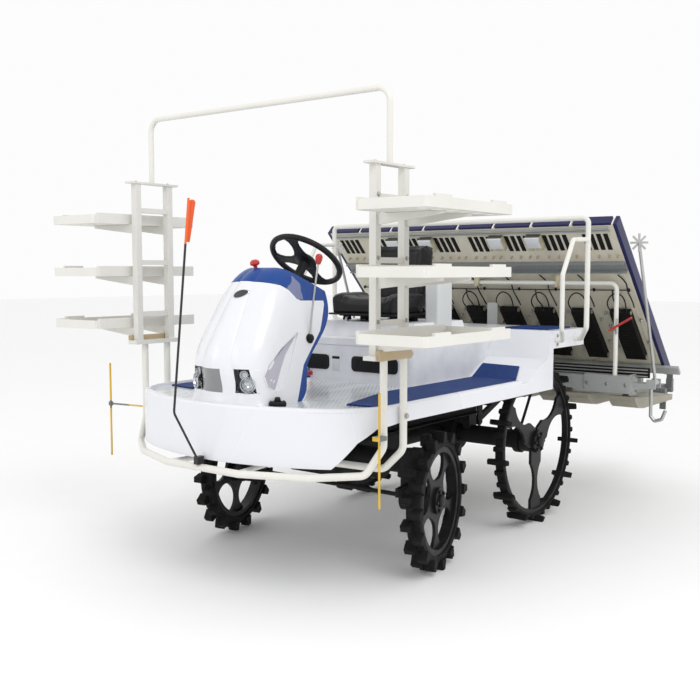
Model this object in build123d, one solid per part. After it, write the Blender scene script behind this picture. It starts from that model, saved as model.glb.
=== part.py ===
from build123d import *
import os
from math import cos, radians, sin, sqrt

os.makedirs("parts", exist_ok=True)

# Riding rice transplanter, eight rows, planting unit raised for parking.
# Millimetres: +X forward, +Y to the machine's left, +Z up. While it is modelled, X = 0 is the front axle
# and Z = 0 the ground. At the end every piece moves along X, so that the middle of the box is the origin.

# Running gear
WHEELBASE = 1100
FRONT_TREAD = 1244
REAR_TREAD = 1180
FRONT_TIP_R = 325
REAR_TIP_R = 448
KING_PIN_Y = 500
KING_PIN_D = 40
STEER_REST = 12
STEER_ARM = 150
FRONT_TYRE_W = 96
FRONT_TYRE_R = 283
FRONT_RIM_R = 252
FRONT_RIM_BORE_R = 226
FRONT_RIM_W = 54
FRONT_LUGS = 16
REAR_TYRE_W = 46
REAR_TYRE_R = 416
REAR_RIM_R = 396
REAR_RIM_BORE_R = 376
REAR_PADDLE_W = 128
REAR_PADDLES = 13
HUB_R = 62
AXLE_D = 36
AXLE_CASE_D = 104
REAR_HOUSING_R = 96
FRONT_AXLE_Z = 490
FIT = 0.05
SEAT_GAP = 0.3
RUN_GAP = 5.5

# Chassis
RAIL_Y = 170
RAIL_W = 46
RAIL_BOTTOM_Z = 560
RAIL_TOP_Z = 640
RAIL_FRONT_X = 640
RAIL_REAR_X = -WHEELBASE - 90
RAIL_WALL = 6

# Deck
DECK_TOP_Z = 812
DECK_HALF_W = 706
DECK_NOSE_X = 842
DECK_NOSE_R = 1130
DECK_CORNER_R = 330
DECK_WALL = 14
DECK_LIP_W = 26
DECK_LIP_H = 16
SKIRT_BOTTOM_Z = 580
SILL_BOTTOM_Z = 750
SILL_START_X = 540
FLOOR_END_X = 395 - WHEELBASE
RAMP = ((310 - WHEELBASE, 0), (205 - WHEELBASE, 60), (100 - WHEELBASE, 104))
REAR_DECK_Z = 1066
REAR_WALL_X = 45 - WHEELBASE
REAR_DECK_X = -WHEELBASE - 360
REAR_APRON = 96
MAT_T = 8

# Cowl and dash
COWL_NOSE_X = 806
COWL_RECESS = 8
LAMP_BOTTOM_Z = 866
LAMP_TOP_Z = 970
LAMP_HALF_W = 200
LAMP_DEPTH = 110
COWL_REAR_T = 28

# Steering wheel
WHEEL_HUB = (167, 0, 1441)
WHEEL_R = 188
WHEEL_GRIP_D = 27
COLUMN_LEAN = 38
COLUMN_D = 44

# Seat
SEAT_BOX_X = (-1040, -252)
SEAT_BOX_HALF_W = 342
SEAT_BOX_TOP_Z = 1045
SEAT_BOX_WALL = 12
PLINTH_X = (-800, -300)
PLINTH_HALF_W = 322
PLINTH_TOP_Z = 1124
PLINTH_TAPER = 12
SIDE_BOX_X = (-640, -500)
SIDE_BOX_Y = (244, 330)
SIDE_BOX_TOP_Z = 1350
SEAT_FRONT_X = -262
SEAT_DEPTH = 320
SEAT_W = 452
SEAT_CUSHION_T = 108
SEAT_BACK_H = 365
SEAT_BACK_W = 384
SEAT_LEAN = 9
SEAT_BACK_T = 90
SEAT_EAR_R = 12
SEAT_EAR_Y = (SEAT_W / 2 - 96, SEAT_W / 2 - 84)
SEAT_HINGE_D = 16
VENT_Z = (884, 944)
VENTS_Y = ((-325, -195), (-40, 235))

# Guard rail, racks and shelves
TUBE_D = 32
RAIL_NOSE_X = 878
GUARD_Z = 548
BRACE_Z = RAIL_BOTTOM_Z - TUBE_D / 2 - SEAT_GAP
POST_X = (402, 545)
POST_Y = 728
UPRIGHT_X = (392, 593)
UPRIGHT_W = 34
RACK_FOOT_Z = 1035
RACK_TOP_Z = 1812
CLAMP_Z = 1030
TIER_Z = (1110, 1363, 1616)
SHELF_X = (155, 805)
SHELF_Y = 780
SHELF_W = 320
SHELF_H = 41
SHELF_HOLE_R = 28
SHELF_ARM_H = 24
SHELF_WALL = 5
BAR_D = 26
BAR_TOP_Z = 2126

# Rear guard rail
REAR_RAIL_X = -WHEELBASE - 40
REAR_RAIL_Z = 1670
REAR_RAIL_Y = 860
REAR_RAIL_FOOT_X = REAR_RAIL_X - 190
REAR_RAIL_D = 28
HAND_LOOP_X = (REAR_RAIL_X + 185, REAR_RAIL_X + 305)
HAND_LOOP_D = 24

# Lift linkage
LINK_PIVOT_X = RAIL_REAR_X - 25
LOWER_PIVOT_Z = 505
UPPER_PIVOT_Z = 745
LINK_LENGTH = 450
LINK_REST = 21
LOWER_LINK_Y = 150
LINK_PIN_D = 20
CRANK_LENGTH = 130
CYLINDER_PIVOT_X = LINK_PIVOT_X + 385
ROD_EYE_BORE_R = 13.6
ROD_EYE_OFFSET = (-2.3, 4.7)
CYLINDER_D = 60
CYLINDER_ROD_D = 28

# Planting unit
ROWS = 8
ROW_PITCH = 249
CASES = ROWS // 2
BEAM_X = LINK_PIVOT_X - 485
BEAM_Z = 730
BEAM_W = 80
BEAM_HALF_LENGTH = 905
ROTOR_CASE_L = 190
CASE_W = 62
TRAY_TOP_X = BEAM_X + 296
TRAY_TOP_Z = 1641
TRAY_SLOPE = 45.5
TRAY_LENGTH = 1262
TRAY_PANEL_T = 10
TRAY_WALL_H = 58
TRAY_OFFSET = -109
TRAY_REACH = 1000
END_COVER_T = 22
TRAY_FOOT_X = TRAY_TOP_X - TRAY_LENGTH * cos(radians(TRAY_SLOPE))
TRAY_FOOT_Z = TRAY_TOP_Z - TRAY_LENGTH * sin(radians(TRAY_SLOPE))
ROTOR_X = TRAY_FOOT_X - 161.5
ROTOR_Z = TRAY_FOOT_Z - 121
FLOAT_BOTTOM_Z = 585
FLOAT_H = 68
FLOAT_NOSE_X = BEAM_X + 58
SUPPORT_Y = 812
SUPPORT_TOP_Z = 1318
SUPPORT_D = 26
TRAY_RAIL_X = BEAM_X + 30
TRAY_LUG_Y = (-560, 0, 560)
MARKER_PIVOT = (BEAM_X, 1040, 752)
MARKER_PIN_D = 16
MARKER_LENGTH = 790
MARKER_LEAN = 300
MARKER_STAR_R = 50
GUARD_ROD_Y = 1128
BEAM_SLEEVE_Y = (630, 905)
BEAM_SLEEVE_HALF = 51


def block(x, y, z):
    """A box between two values on each axis."""
    size = (x[1] - x[0], y[1] - y[0], z[1] - z[0])
    middle = ((x[0] + x[1]) / 2, (y[0] + y[1]) / 2, (z[0] + z[1]) / 2)
    return Pos(*middle) * Box(*size)


def disc(radius, y, at=(0, 0)):
    """A round solid with its axis along Y, centred at an X and a Z."""
    return Pos(at[0], (y[0] + y[1]) / 2, at[1]) * Rot(90, 0, 0) * Cylinder(radius, abs(y[1] - y[0]))


def ring(outer, inner, y, at=(0, 0)):
    return disc(outer, y, at) - disc(inner, (y[0] - 1, y[1] + 1), at)


def post(radius, x, y, z):
    """A round solid with its axis along Z."""
    return Pos(x, y, (z[0] + z[1]) / 2) * Cylinder(radius, z[1] - z[0])


def rod(points, diameter, bend=0):
    """A round bar along straight runs joined by arcs."""
    path = FilletPolyline(*points, radius=bend) if bend else Polyline(*points)
    section = Plane(path @ 0, z_dir=path % 0) * Circle(diameter / 2)
    return sweep(section, path=path)


def bar(start, end, width, height):
    """A straight bar of rectangular section, its width along Y."""
    run = Vector(*end) - Vector(*start)
    plane = Plane(start, x_dir=Vector(0, 1, 0), z_dir=run)
    return extrude(plane * Rectangle(width, height), run.length)


def side_profile(points, y):
    """A flat outline in X and Z, as thick as the span in Y."""
    outline = Plane.XZ * make_face(Polyline(*points, close=True))
    return Pos(0, y[1], 0) * extrude(outline, y[1] - y[0])


def mirrored(shape):
    return mirror(shape, about=Plane.XZ)


def both(shape):
    """The same piece on the left and on the right."""
    return shape + mirrored(shape)


def group(pieces):
    """Pieces of one node that don't touch each other."""
    return pieces[0] + pieces[1:]


# Chassis


def chassis_frame():
    rails = []
    for side in (-1, 1):
        y = (side * RAIL_Y - RAIL_W / 2, side * RAIL_Y + RAIL_W / 2)
        web = block((RAIL_REAR_X, RAIL_FRONT_X), y, (RAIL_BOTTOM_Z, RAIL_TOP_Z))
        inner = (y[0] + RAIL_WALL, y[1] + RAIL_WALL) if side > 0 else (y[0] - RAIL_WALL, y[1] - RAIL_WALL)
        groove = block((RAIL_REAR_X - 1, RAIL_FRONT_X + 1), inner,
                       (RAIL_BOTTOM_Z + RAIL_WALL, RAIL_TOP_Z - RAIL_WALL))
        rails.append(web - groove)
    frame = rails[0] + rails[1]
    inside = RAIL_Y - RAIL_W / 2 + RAIL_WALL
    for x in CROSS_MEMBER_X:
        frame += block((x - 25, x + 25), (-inside, inside), (RAIL_BOTTOM_Z + 20, RAIL_TOP_Z - 10))
    for x, top, reach in DECK_STAYS:
        legs = both(block((x - 20, x + 20), (RAIL_Y - 18, RAIL_Y + 18), (RAIL_TOP_Z - 2, top - 38)))
        frame += legs
        frame += block((x - 20, x + 20), (-reach, reach), (top - 40, top))
    return frame


CROSS_MEMBER_X = (600, 200, -240, -735, RAIL_REAR_X + 30)
# x, top z and half length of each bar that the deck lies on
DECK_STAYS = (
    (560, DECK_TOP_Z - DECK_WALL, 480),
    (150, DECK_TOP_Z - DECK_WALL, 640),
    (-215, DECK_TOP_Z - DECK_WALL, 640),
    (RAIL_REAR_X + 45, REAR_DECK_Z - DECK_WALL, 600),
)


def transmission_case():
    body = block((-430, 130), (-150, 150), (402, RAIL_BOTTOM_Z))
    body = fillet(body.edges().filter_by(Axis.X), 26)
    body += disc(118, (-120, 120), (-300, 432))
    body -= block((-500, 500), (-200, 200), (RAIL_BOTTOM_Z, RAIL_BOTTOM_Z + 60))
    length = WHEELBASE - REAR_HOUSING_R - 400
    drive = Pos(-400 - length / 2, 0, REAR_TIP_R + 10) * Rot(0, 90, 0) * Cylinder(38, length)
    return body + (drive - disc(REAR_HOUSING_R, (-100, 100), (-WHEELBASE, REAR_TIP_R)))


def engine_block():
    return block((-690, -330), (-190, 190), (RAIL_TOP_Z, 985))


def front_axle_case():
    """A transverse housing with a boss over each king pin."""
    reach = KING_PIN_Y
    case = disc(AXLE_CASE_D / 2, (-reach, reach), (0, FRONT_AXLE_Z))
    case += disc(AXLE_CASE_D / 2 + 16, (-130, 130), (0, FRONT_AXLE_Z))
    case -= block((-430, 130), (-150, 150), (402, RAIL_BOTTOM_Z))
    for side in (-1, 1):
        case += post(64, 0, side * KING_PIN_Y, (FRONT_AXLE_Z - 62, FRONT_AXLE_Z + 62))
        case -= post(KING_PIN_D / 2 + FIT, 0, side * KING_PIN_Y, (FRONT_AXLE_Z - 63, FRONT_AXLE_Z + 40))
        mount = block((-40, 40), (RAIL_Y - 18, RAIL_Y + 22), (FRONT_AXLE_Z + 20, RAIL_BOTTOM_Z))
        case += mount if side > 0 else mirrored(mount)
    return case


def rear_axle_case():
    case = disc(AXLE_CASE_D / 2, (-REAR_CASE_Y, REAR_CASE_Y), (-WHEELBASE, REAR_TIP_R))
    case += disc(REAR_HOUSING_R, (-110, 110), (-WHEELBASE, REAR_TIP_R))
    for side in (-1, 1):
        case += disc(72, sorted((side * (REAR_CASE_Y - 34), side * REAR_CASE_Y)), (-WHEELBASE, REAR_TIP_R))
        case -= disc(AXLE_D / 2 + FIT, sorted((side * (REAR_CASE_Y - 120), side * (REAR_CASE_Y + 1))),
                     (-WHEELBASE, REAR_TIP_R))
        mount = block((-WHEELBASE - 40, -WHEELBASE + 40), (RAIL_Y - 22, RAIL_Y + 22),
                      (REAR_TIP_R + 20, RAIL_BOTTOM_Z))
        case += mount if side > 0 else mirrored(mount)
    return case


REAR_CASE_Y = REAR_TREAD / 2 - 78


def link_bracket():
    """Plates on the rear of the rails that carry the link pins and the lift cylinder."""
    plates = None
    for y in LINK_PLATE_Y:
        outline = [
            (RAIL_REAR_X, RAIL_BOTTOM_Z - 30), (LINK_PIVOT_X + 5, LOWER_PIVOT_Z - 32),
            (LINK_PIVOT_X - 30, LOWER_PIVOT_Z - 10), (LINK_PIVOT_X - 30, UPPER_PIVOT_Z + 26),
            (RAIL_REAR_X, UPPER_PIVOT_Z + 26),
        ]
        plate = side_profile(outline, (y - 5, y + 5))
        for z in (LOWER_PIVOT_Z, UPPER_PIVOT_Z):
            plate -= disc(LINK_PIN_D / 2 + FIT, (y - 6, y + 6), (LINK_PIVOT_X, z))
        plates = plate if plates is None else plates + plate
    back = block((RAIL_REAR_X, RAIL_REAR_X + 8), (-RAIL_Y - 10, RAIL_Y + 10), (RAIL_TOP_Z, UPPER_PIVOT_Z + 26))
    plates += back
    ears = block((CYLINDER_PIVOT_X - 25, CYLINDER_PIVOT_X + 25), (-48, 48), (CYLINDER_Z - 44, CYLINDER_Z + 30))
    ears -= block((CYLINDER_PIVOT_X - 40, CYLINDER_PIVOT_X + 40), (-36, 36),
                  (CYLINDER_Z - CYLINDER_D / 2 - RUN_GAP, CYLINDER_Z + 31))
    ears -= disc(LINK_PIN_D / 2 + FIT, (-60, 60), (CYLINDER_PIVOT_X, CYLINDER_Z))
    plates += ears
    plates += both(block((CYLINDER_PIVOT_X - 25, CYLINDER_PIVOT_X + 25), (40, RAIL_Y + 18),
                         (CYLINDER_Z - 44, CYLINDER_Z - 32)))
    plates += both(block((CYLINDER_PIVOT_X - 25, CYLINDER_PIVOT_X + 25), (RAIL_Y - 8, RAIL_Y + 18),
                         (RAIL_TOP_Z, CYLINDER_Z - 32)))
    return plates


LINK_PLATE_Y = (-LOWER_LINK_Y - 20, -LOWER_LINK_Y + 20, LOWER_LINK_Y - 20, LOWER_LINK_Y + 20)
CYLINDER_Z = UPPER_PIVOT_Z + CRANK_LENGTH


# Deck


def deck_outline(inset):
    """The deck seen from above: a shallow arc for the nose, round corners and straight sides."""
    half = DECK_HALF_W - inset
    nose = Pos(DECK_NOSE_X - DECK_NOSE_R, 0) * Circle(DECK_NOSE_R - inset)
    sides = Rectangle(4 * DECK_NOSE_X, 2 * half)
    front = Pos(DECK_NOSE_X, 0) * Rectangle(2 * (DECK_NOSE_X - FLOOR_END_X), 4 * half)
    shape = nose & sides & front
    corners = shape.vertices().sort_by(Axis.X)[-2:]
    return fillet(corners, DECK_CORNER_R - inset)


def step_deck():
    """The low floor with its skirt and raised lip, and the raised floor over the back wheels."""
    rim = DECK_TOP_Z + DECK_LIP_H
    skirt = extrude(Pos(0, 0, SKIRT_BOTTOM_Z) * deck_outline(0), rim - SKIRT_BOTTOM_Z)
    top_edge = skirt.faces().sort_by(Axis.Z)[-1].edges().filter_by(lambda e: e.center().X > FLOOR_END_X + 5)
    skirt = fillet(top_edge, 14)
    skirt -= extrude(Pos(0, 0, DECK_TOP_Z) * deck_outline(DECK_LIP_W), 2 * DECK_LIP_H)
    skirt -= extrude(Pos(0, 0, SKIRT_BOTTOM_Z - 1) * deck_outline(DECK_WALL),
                     DECK_TOP_Z - DECK_WALL - SKIRT_BOTTOM_Z + 1)
    arch = side_profile([
        (SILL_START_X + 150, SKIRT_BOTTOM_Z - 5), (SILL_START_X + 70, SKIRT_BOTTOM_Z + 105),
        (SILL_START_X - 10, SILL_BOTTOM_Z - 12), (SILL_START_X - 140, SILL_BOTTOM_Z),
        (FLOOR_END_X - 10, SILL_BOTTOM_Z), (FLOOR_END_X - 10, SKIRT_BOTTOM_Z - 5),
    ], (-DECK_HALF_W - 5, DECK_HALF_W + 5))
    skirt -= arch
    rear = rear_deck(0) - rear_deck(DECK_WALL)
    deck = skirt + rear
    deck -= block((SEAT_BOX_X[0] + 300, SEAT_BOX_X[1] - 50), (-230, 230), (DECK_TOP_Z - 60, DECK_TOP_Z + 20))
    deck -= block((REAR_WALL_X - 40, FLOOR_END_X + 60), (-230, 230), (DECK_TOP_Z - 90, REAR_DECK_Z - 40))
    return deck


def floor_line(drop):
    """X and Z of the floor from the end of its flat part up the ramp over the tyre, lowered by a drop."""
    climb = [(x, DECK_TOP_Z + rise - drop) for x, rise in RAMP]
    return [(FLOOR_END_X + (1 if drop else 0), DECK_TOP_Z - drop)] + climb


def rear_deck(inset):
    """The rear of the floor, its front wall and the raised deck, as a solid that a smaller one hollows."""
    back = REAR_DECK_X + inset
    top = REAR_DECK_Z - inset
    if inset == 0:
        apron = REAR_DECK_Z - REAR_APRON
        wall = REAR_WALL_X - DECK_WALL
        low = [(back, apron), (wall, apron), (wall, SILL_BOTTOM_Z), (FLOOR_END_X, SILL_BOTTOM_Z)]
    else:
        low = [(back, SILL_BOTTOM_Z - 1), (FLOOR_END_X + 1, SILL_BOTTOM_Z - 1)]
    half = DECK_HALF_W - inset
    rise = [(x - inset * 0.4, z) for x, z in floor_line(inset)]
    return side_profile([(back, top)] + low + rise + [(REAR_WALL_X - inset, top)], (-half, half))


def deck_mats():
    """A long mat at each side of the low floor, up onto the ramp, and two on the raised one."""
    side = [(470, 480), (440, 655), (-300, 668), (FLOOR_END_X, 655), (-900, 590), (-910, 362), (40, 362)]
    plan = extrude(Pos(0, 0, DECK_TOP_Z) * make_face(Polyline(*side, close=True)), 2 * DECK_WALL + 100)
    under = floor_line(0)
    over = [(x, z + MAT_T) for x, z in reversed(under)]
    layer = side_profile([(500, DECK_TOP_Z)] + under + over + [(500, DECK_TOP_Z + MAT_T)], (0, DECK_HALF_W))
    low = plan & layer
    high = []
    for x in ((REAR_DECK_X + 60, REAR_DECK_X + 190), (REAR_DECK_X + 215, REAR_DECK_X + 345)):
        high.append(block(x, (372, 650), (REAR_DECK_Z, REAR_DECK_Z + MAT_T)))
    return group([low, mirrored(low)] + high + [mirrored(mat) for mat in high])


# Cowl


def cowl_section(z, rear, front, half, corner, bulge, inset):
    """One level of the cowl: flat at the rear, straight sides, round corners and a bulging nose."""
    half -= inset
    front -= inset
    rear += inset
    turn = corner * (1 - cos(radians(45)))
    nose = half - corner
    with BuildSketch(Plane.XY.offset(z)) as level:
        with BuildLine():
            Line((rear, -half), (front - bulge - corner, -half))
            ThreePointArc((front - bulge - corner, -half), (front - bulge - turn, -half + turn),
                          (front - bulge, -nose))
            ThreePointArc((front - bulge, -nose), (front, 0), (front - bulge, nose))
            ThreePointArc((front - bulge, nose), (front - bulge - turn, half - turn),
                          (front - bulge - corner, half))
            Line((front - bulge - corner, half), (rear, half))
            Line((rear, half), (rear, -half))
        make_face()
    return level.sketch


def cowl_form(inset=0):
    """The whole cowl, a loft through its levels."""
    return loft([cowl_section(*row, inset) for row in COWL_LEVELS])


# height, rear x, front x, half width, corner radius and bulge of the nose
COWL_LEVELS = (
    (DECK_TOP_Z, 480, COWL_NOSE_X, 236, 120, 34),
    (970, 413, COWL_NOSE_X - 3, 216, 128, 36),
    (1117, 279, 752, 202, 132, 32),
    (1237, 229, 676, 184, 128, 26),
    (1333, 238, 604, 156, 112, 20),
    (1382, 256, 545, 128, 92, 14),
    (1403, 305, 495, 96, 70, 8),
)


def dash_cut():
    """The space above the seam between the cowl and the dash."""
    seam = [(700, 1352), (590, 1343), (522, 1325), (475, 1298), (422, 1256), (200, 1250)]
    return side_profile(seam + [(200, 1500), (700, 1500)], (-300, 300))


def rear_strip_cut():
    """The space behind the seam between the cowl and its rear cover."""
    seam = [(rear + COWL_REAR_T, z) for z, rear, *_ in COWL_LEVELS[:4]]
    seam.append((seam[-1][0] + 2, 1260))
    return side_profile([(100, DECK_TOP_Z - 1), (seam[0][0], DECK_TOP_Z - 1)] + seam + [(100, 1260)], (-300, 300))


def side_recess():
    """The drop-shaped hollow low on each flank."""
    drop = [(461, 1117), (580, 1052), (662, 992), (689, 940), (676, 892), (635, 868), (588, 884), (540, 944)]
    prism = side_profile(drop, (100, 300)) - cowl_form(COWL_RECESS)
    return both(prism)


def lamp_pocket():
    return block((COWL_NOSE_X - LAMP_DEPTH - 50, COWL_NOSE_X + 50), (-LAMP_HALF_W, LAMP_HALF_W),
                 (LAMP_BOTTOM_Z, LAMP_TOP_Z))


def bonnet():
    return cowl_form() - dash_cut() - rear_strip_cut() - lamp_pocket() - side_recess()


def dash_panel():
    dash = cowl_form() & dash_cut()
    axis = column_plane()
    return dash - extrude(axis * Circle(COLUMN_D / 2), 400, both=True)


def bonnet_rear_cover():
    return (cowl_form() & rear_strip_cut()) - dash_cut()


def headlamp_band():
    return cowl_form() & lamp_pocket()


def column_plane():
    """Plane at the steering wheel's hub, its Z up the column."""
    lean = radians(COLUMN_LEAN)
    return Plane(WHEEL_HUB, x_dir=Vector(0, 1, 0), z_dir=Vector(-sin(lean), 0, cos(lean)))


def steering_column():
    plane = column_plane()
    tube = plane * Pos(0, 0, -(COLUMN_TOP + COLUMN_LENGTH / 2)) * Cylinder(COLUMN_D / 2, COLUMN_LENGTH)
    return tube - plane * Pos(0, 0, -COLUMN_TOP - 40) * Cylinder(STEER_SHAFT_D / 2 + FIT, 82)


COLUMN_TOP = 26
COLUMN_LENGTH = 190
STEER_SHAFT_D = 22


def steering_wheel():
    plane = column_plane()
    grip = Torus(WHEEL_R - WHEEL_GRIP_D / 2, WHEEL_GRIP_D / 2)
    hub = Pos(0, 0, -8) * Cylinder(38, 26)
    wheel = grip + hub
    for angle in (90, 210, 330):
        spoke = Rot(0, 0, angle) * Pos((WHEEL_R - 10) / 2, 0, -4) * Box(WHEEL_R - 14, 24, 9)
        wheel += spoke
    shaft = Pos(0, 0, -COLUMN_TOP - 26) * Cylinder(STEER_SHAFT_D / 2, 64)
    return plane * (wheel + shaft)


# Seat


def seat_box():
    """The box under the seat: a long body, the plinth on it and the small box beside the backrest."""
    x = SEAT_BOX_X
    box = block(x, (-SEAT_BOX_HALF_W, SEAT_BOX_HALF_W), (DECK_TOP_Z, SEAT_BOX_TOP_Z))
    front = box.edges().filter_by(Axis.Z).sort_by(Axis.X)[-2:]
    box = fillet(front, 34)
    box = chamfer(box.faces().sort_by(Axis.Z)[-1].edges().sort_by(Axis.X)[1:], 8)
    box -= block((x[0] + SEAT_BOX_WALL, x[1] - SEAT_BOX_WALL),
                 (-SEAT_BOX_HALF_W + SEAT_BOX_WALL, SEAT_BOX_HALF_W - SEAT_BOX_WALL),
                 (DECK_TOP_Z - 1, SEAT_BOX_TOP_Z - SEAT_BOX_WALL))
    for y in VENTS_Y:
        box -= block((x[1] - 2 * SEAT_BOX_WALL, x[1] + 5), y, VENT_Z)
        slats = 4
        pitch = (VENT_Z[1] - VENT_Z[0]) / slats
        for k in range(slats - 1):
            z = VENT_Z[0] + pitch * (k + 1)
            box += block((x[1] - SEAT_BOX_WALL, x[1] - 4), (y[0] - 1, y[1] + 1), (z - 3, z + 3))
    box -= rear_deck(0)
    plinth = extrude(Pos((PLINTH_X[0] + PLINTH_X[1]) / 2, 0, SEAT_BOX_TOP_Z - 1)
                     * Rectangle(PLINTH_X[1] - PLINTH_X[0], 2 * PLINTH_HALF_W),
                     PLINTH_TOP_Z - SEAT_BOX_TOP_Z + 1, taper=PLINTH_TAPER)
    box += plinth
    side_box = block(SIDE_BOX_X, SIDE_BOX_Y, (SEAT_BOX_TOP_Z + 40, SIDE_BOX_TOP_Z))
    box += fillet(side_box.edges().filter_by(Axis.Z), 14)
    hinge = seat_hinge_at()
    for side in (-1, 1):
        ear = block((hinge[0] - SEAT_EAR_R, hinge[0] + SEAT_EAR_R), SEAT_EAR_Y,
                    (SEAT_BOX_TOP_Z + 20, hinge[1]))
        ear += disc(SEAT_EAR_R, SEAT_EAR_Y, hinge)
        ear -= disc(SEAT_HINGE_D / 2 + FIT, (0, SEAT_W), hinge)
        box += ear if side > 0 else mirrored(ear)
    return box


def seat_hinge_at():
    return (PLINTH_X[1] - 34, PLINTH_TOP_Z + 14)


def seat_cushion():
    base = PLINTH_TOP_Z + 34
    cushion = block((SEAT_FRONT_X - SEAT_DEPTH, SEAT_FRONT_X), (-SEAT_W / 2, SEAT_W / 2),
                    (base, base + SEAT_CUSHION_T))
    return fillet(cushion.edges().filter_by(Axis.Z) + cushion.edges().sort_by(Axis.Z)[-4:], 28)


def seat_back():
    back = seat_back_at() * Pos(-SEAT_BACK_T / 2, 0, SEAT_BACK_H / 2) * Box(SEAT_BACK_T, SEAT_BACK_W, SEAT_BACK_H)
    return fillet(back.edges(), 24)


def seat_back_at():
    """The foot of the backrest's front face, behind the cushion, with its lean."""
    return Pos(SEAT_FRONT_X - SEAT_DEPTH - SEAT_GAP, 0, PLINTH_TOP_Z + 60) * Rot(0, -SEAT_LEAN, 0)


def seat_pan():
    """The plate under the cushion, with hinge lugs at its front and the stay of the back."""
    base = PLINTH_TOP_Z + 34
    hinge = seat_hinge_at()
    pan = block((SEAT_FRONT_X - SEAT_DEPTH + 20, hinge[0] - 22), (-SEAT_W / 2 + 20, SEAT_W / 2 - 20),
                (base - 8 - SEAT_GAP, base - SEAT_GAP))
    lugs = None
    for side in (-1, 1):
        lug = block((hinge[0] - 50, hinge[0] + 9), (SEAT_W / 2 - 80, SEAT_W / 2 - 70),
                    (hinge[1] - 8, base - 4 - SEAT_GAP))
        lug += disc(SEAT_HINGE_D / 2, (SEAT_W / 2 - 100, SEAT_W / 2 - 66), hinge)
        lug = lug if side > 0 else mirrored(lug)
        lugs = lug if lugs is None else lugs + lug
    rear = SEAT_FRONT_X - SEAT_DEPTH
    pads = both(block((rear + 40, rear + 80), (SEAT_W / 2 - 90, SEAT_W / 2 - 50),
                      (PLINTH_TOP_Z + SEAT_GAP, base - 8 - SEAT_GAP)))
    tongue = block((rear - 110, rear + 30), (-60, 60), (base - 8 - SEAT_GAP, base - SEAT_GAP))
    stay = seat_back_at() * Pos(-SEAT_BACK_T - SEAT_GAP - 4, 0, 90) * Box(8, 120, 240)
    below = block((rear - 300, rear), (-100, 100), (base - 200, base - 6))
    return pan + lugs + pads + tongue + (stay - below)


# Guard rail and racks


def front_guard_rail():
    """One tube round the nose that turns up into the front rack posts, and a brace from each rear post."""
    half = [
        (POST_X[1], POST_Y, CLAMP_Z), (POST_X[1], POST_Y, GUARD_Z + 120), (POST_X[1] + 70, POST_Y - 40, GUARD_Z + 10),
        (RAIL_NOSE_X - 120, 500, GUARD_Z), (RAIL_NOSE_X - 12, 220, GUARD_Z),
    ]
    path = half + [(x, -y, z) for x, y, z in reversed(half)]
    rail = rod(path, TUBE_D, 45)
    rear_post = [
        (POST_X[0], POST_Y, CLAMP_Z), (POST_X[0], POST_Y, GUARD_Z + 92), (POST_X[0], POST_Y - 100, BRACE_Z),
        (POST_X[0] + 40, RAIL_Y, BRACE_Z),
    ]
    rear_posts = both(rod(rear_post, TUBE_D, 60))
    ties = both(rod([(RAIL_FRONT_X - 20, RAIL_Y, GUARD_Z), (RAIL_NOSE_X - 16, RAIL_Y + 40, GUARD_Z)], 24))
    feet = both(block((RAIL_FRONT_X - 60, RAIL_FRONT_X), (RAIL_Y - 20, RAIL_Y + 20),
                      (GUARD_Z - 14, RAIL_BOTTOM_Z)))
    return rail + rear_posts + ties + feet


def rack_frame():
    """The left ladder: two square uprights, cross pieces, the clamp on the posts, shelf arms and the top plate."""
    half = UPRIGHT_W / 2
    rack = None
    for x in UPRIGHT_X:
        upright = block((x - half, x + half), (RACK_Y - half, RACK_Y + half), (RACK_FOOT_Z, RACK_TOP_Z))
        rack = upright if rack is None else rack + upright
        for z in TIER_Z:
            arm = side_profile_x([
                (RACK_Y, z - SEAT_GAP - 2 * SHELF_ARM_H), (RACK_Y, z - SEAT_GAP),
                (SHELF_Y + SHELF_W - 60, z - SEAT_GAP), (SHELF_Y + SHELF_W - 60, z - SEAT_GAP - SHELF_ARM_H / 2),
            ], (x - 5, x + 5))
            rack += arm
    clamp = block((UPRIGHT_X[0] - 40, UPRIGHT_X[1] + 40), (RACK_Y - 30, RACK_Y + 30), (CLAMP_Z, RACK_FOOT_Z + 14))
    top = block((UPRIGHT_X[0] - 50, UPRIGHT_X[1] + 50), (RACK_Y - 24, RACK_Y + 24), (RACK_TOP_Z - 2, RACK_TOP_Z + 8))
    rack = rack + clamp + top
    for z in TIER_Z:
        rack += block((UPRIGHT_X[0], UPRIGHT_X[1]), (RACK_Y - 12, RACK_Y + 12), (z + SHELF_H + 14, z + SHELF_H + 38))
    return rack


def side_profile_x(points, x):
    """A flat outline in Y and Z, as thick as the span in X."""
    outline = Plane.YZ * make_face(Polyline(*points, close=True))
    return Pos(x[0], 0, 0) * extrude(outline, x[1] - x[0])


RACK_Y = 718


def shelf(z):
    """A shallow tray on the ladder's arms, open at the top, with a beam inside and holes in its floor."""
    y = (SHELF_Y, SHELF_Y + SHELF_W)
    tray = block(SHELF_X, y, (z, z + SHELF_H))
    tray = fillet(tray.edges().filter_by(Axis.Z), 18)
    tray -= block((SHELF_X[0] + SHELF_WALL, SHELF_X[1] - SHELF_WALL), (y[0] + SHELF_WALL, y[1] - SHELF_WALL),
                  (z + SHELF_WALL, z + SHELF_H + 1))
    tray += block((SHELF_X[0] + 20, SHELF_X[1] - 20), (y[0] - 12, y[0] + SHELF_WALL), (z, z + SHELF_H + 8))
    for x in SHELF_GRIP_X:
        tray += block((x, x + 110), (y[1] - 14, y[1]), (z + SHELF_WALL, z + SHELF_H + 10))
    for x in SHELF_HOLE_X:
        tray -= post(SHELF_HOLE_R, x, y[1] - 62, (z - 1, z + SHELF_WALL + 1))
    return tray


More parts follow.
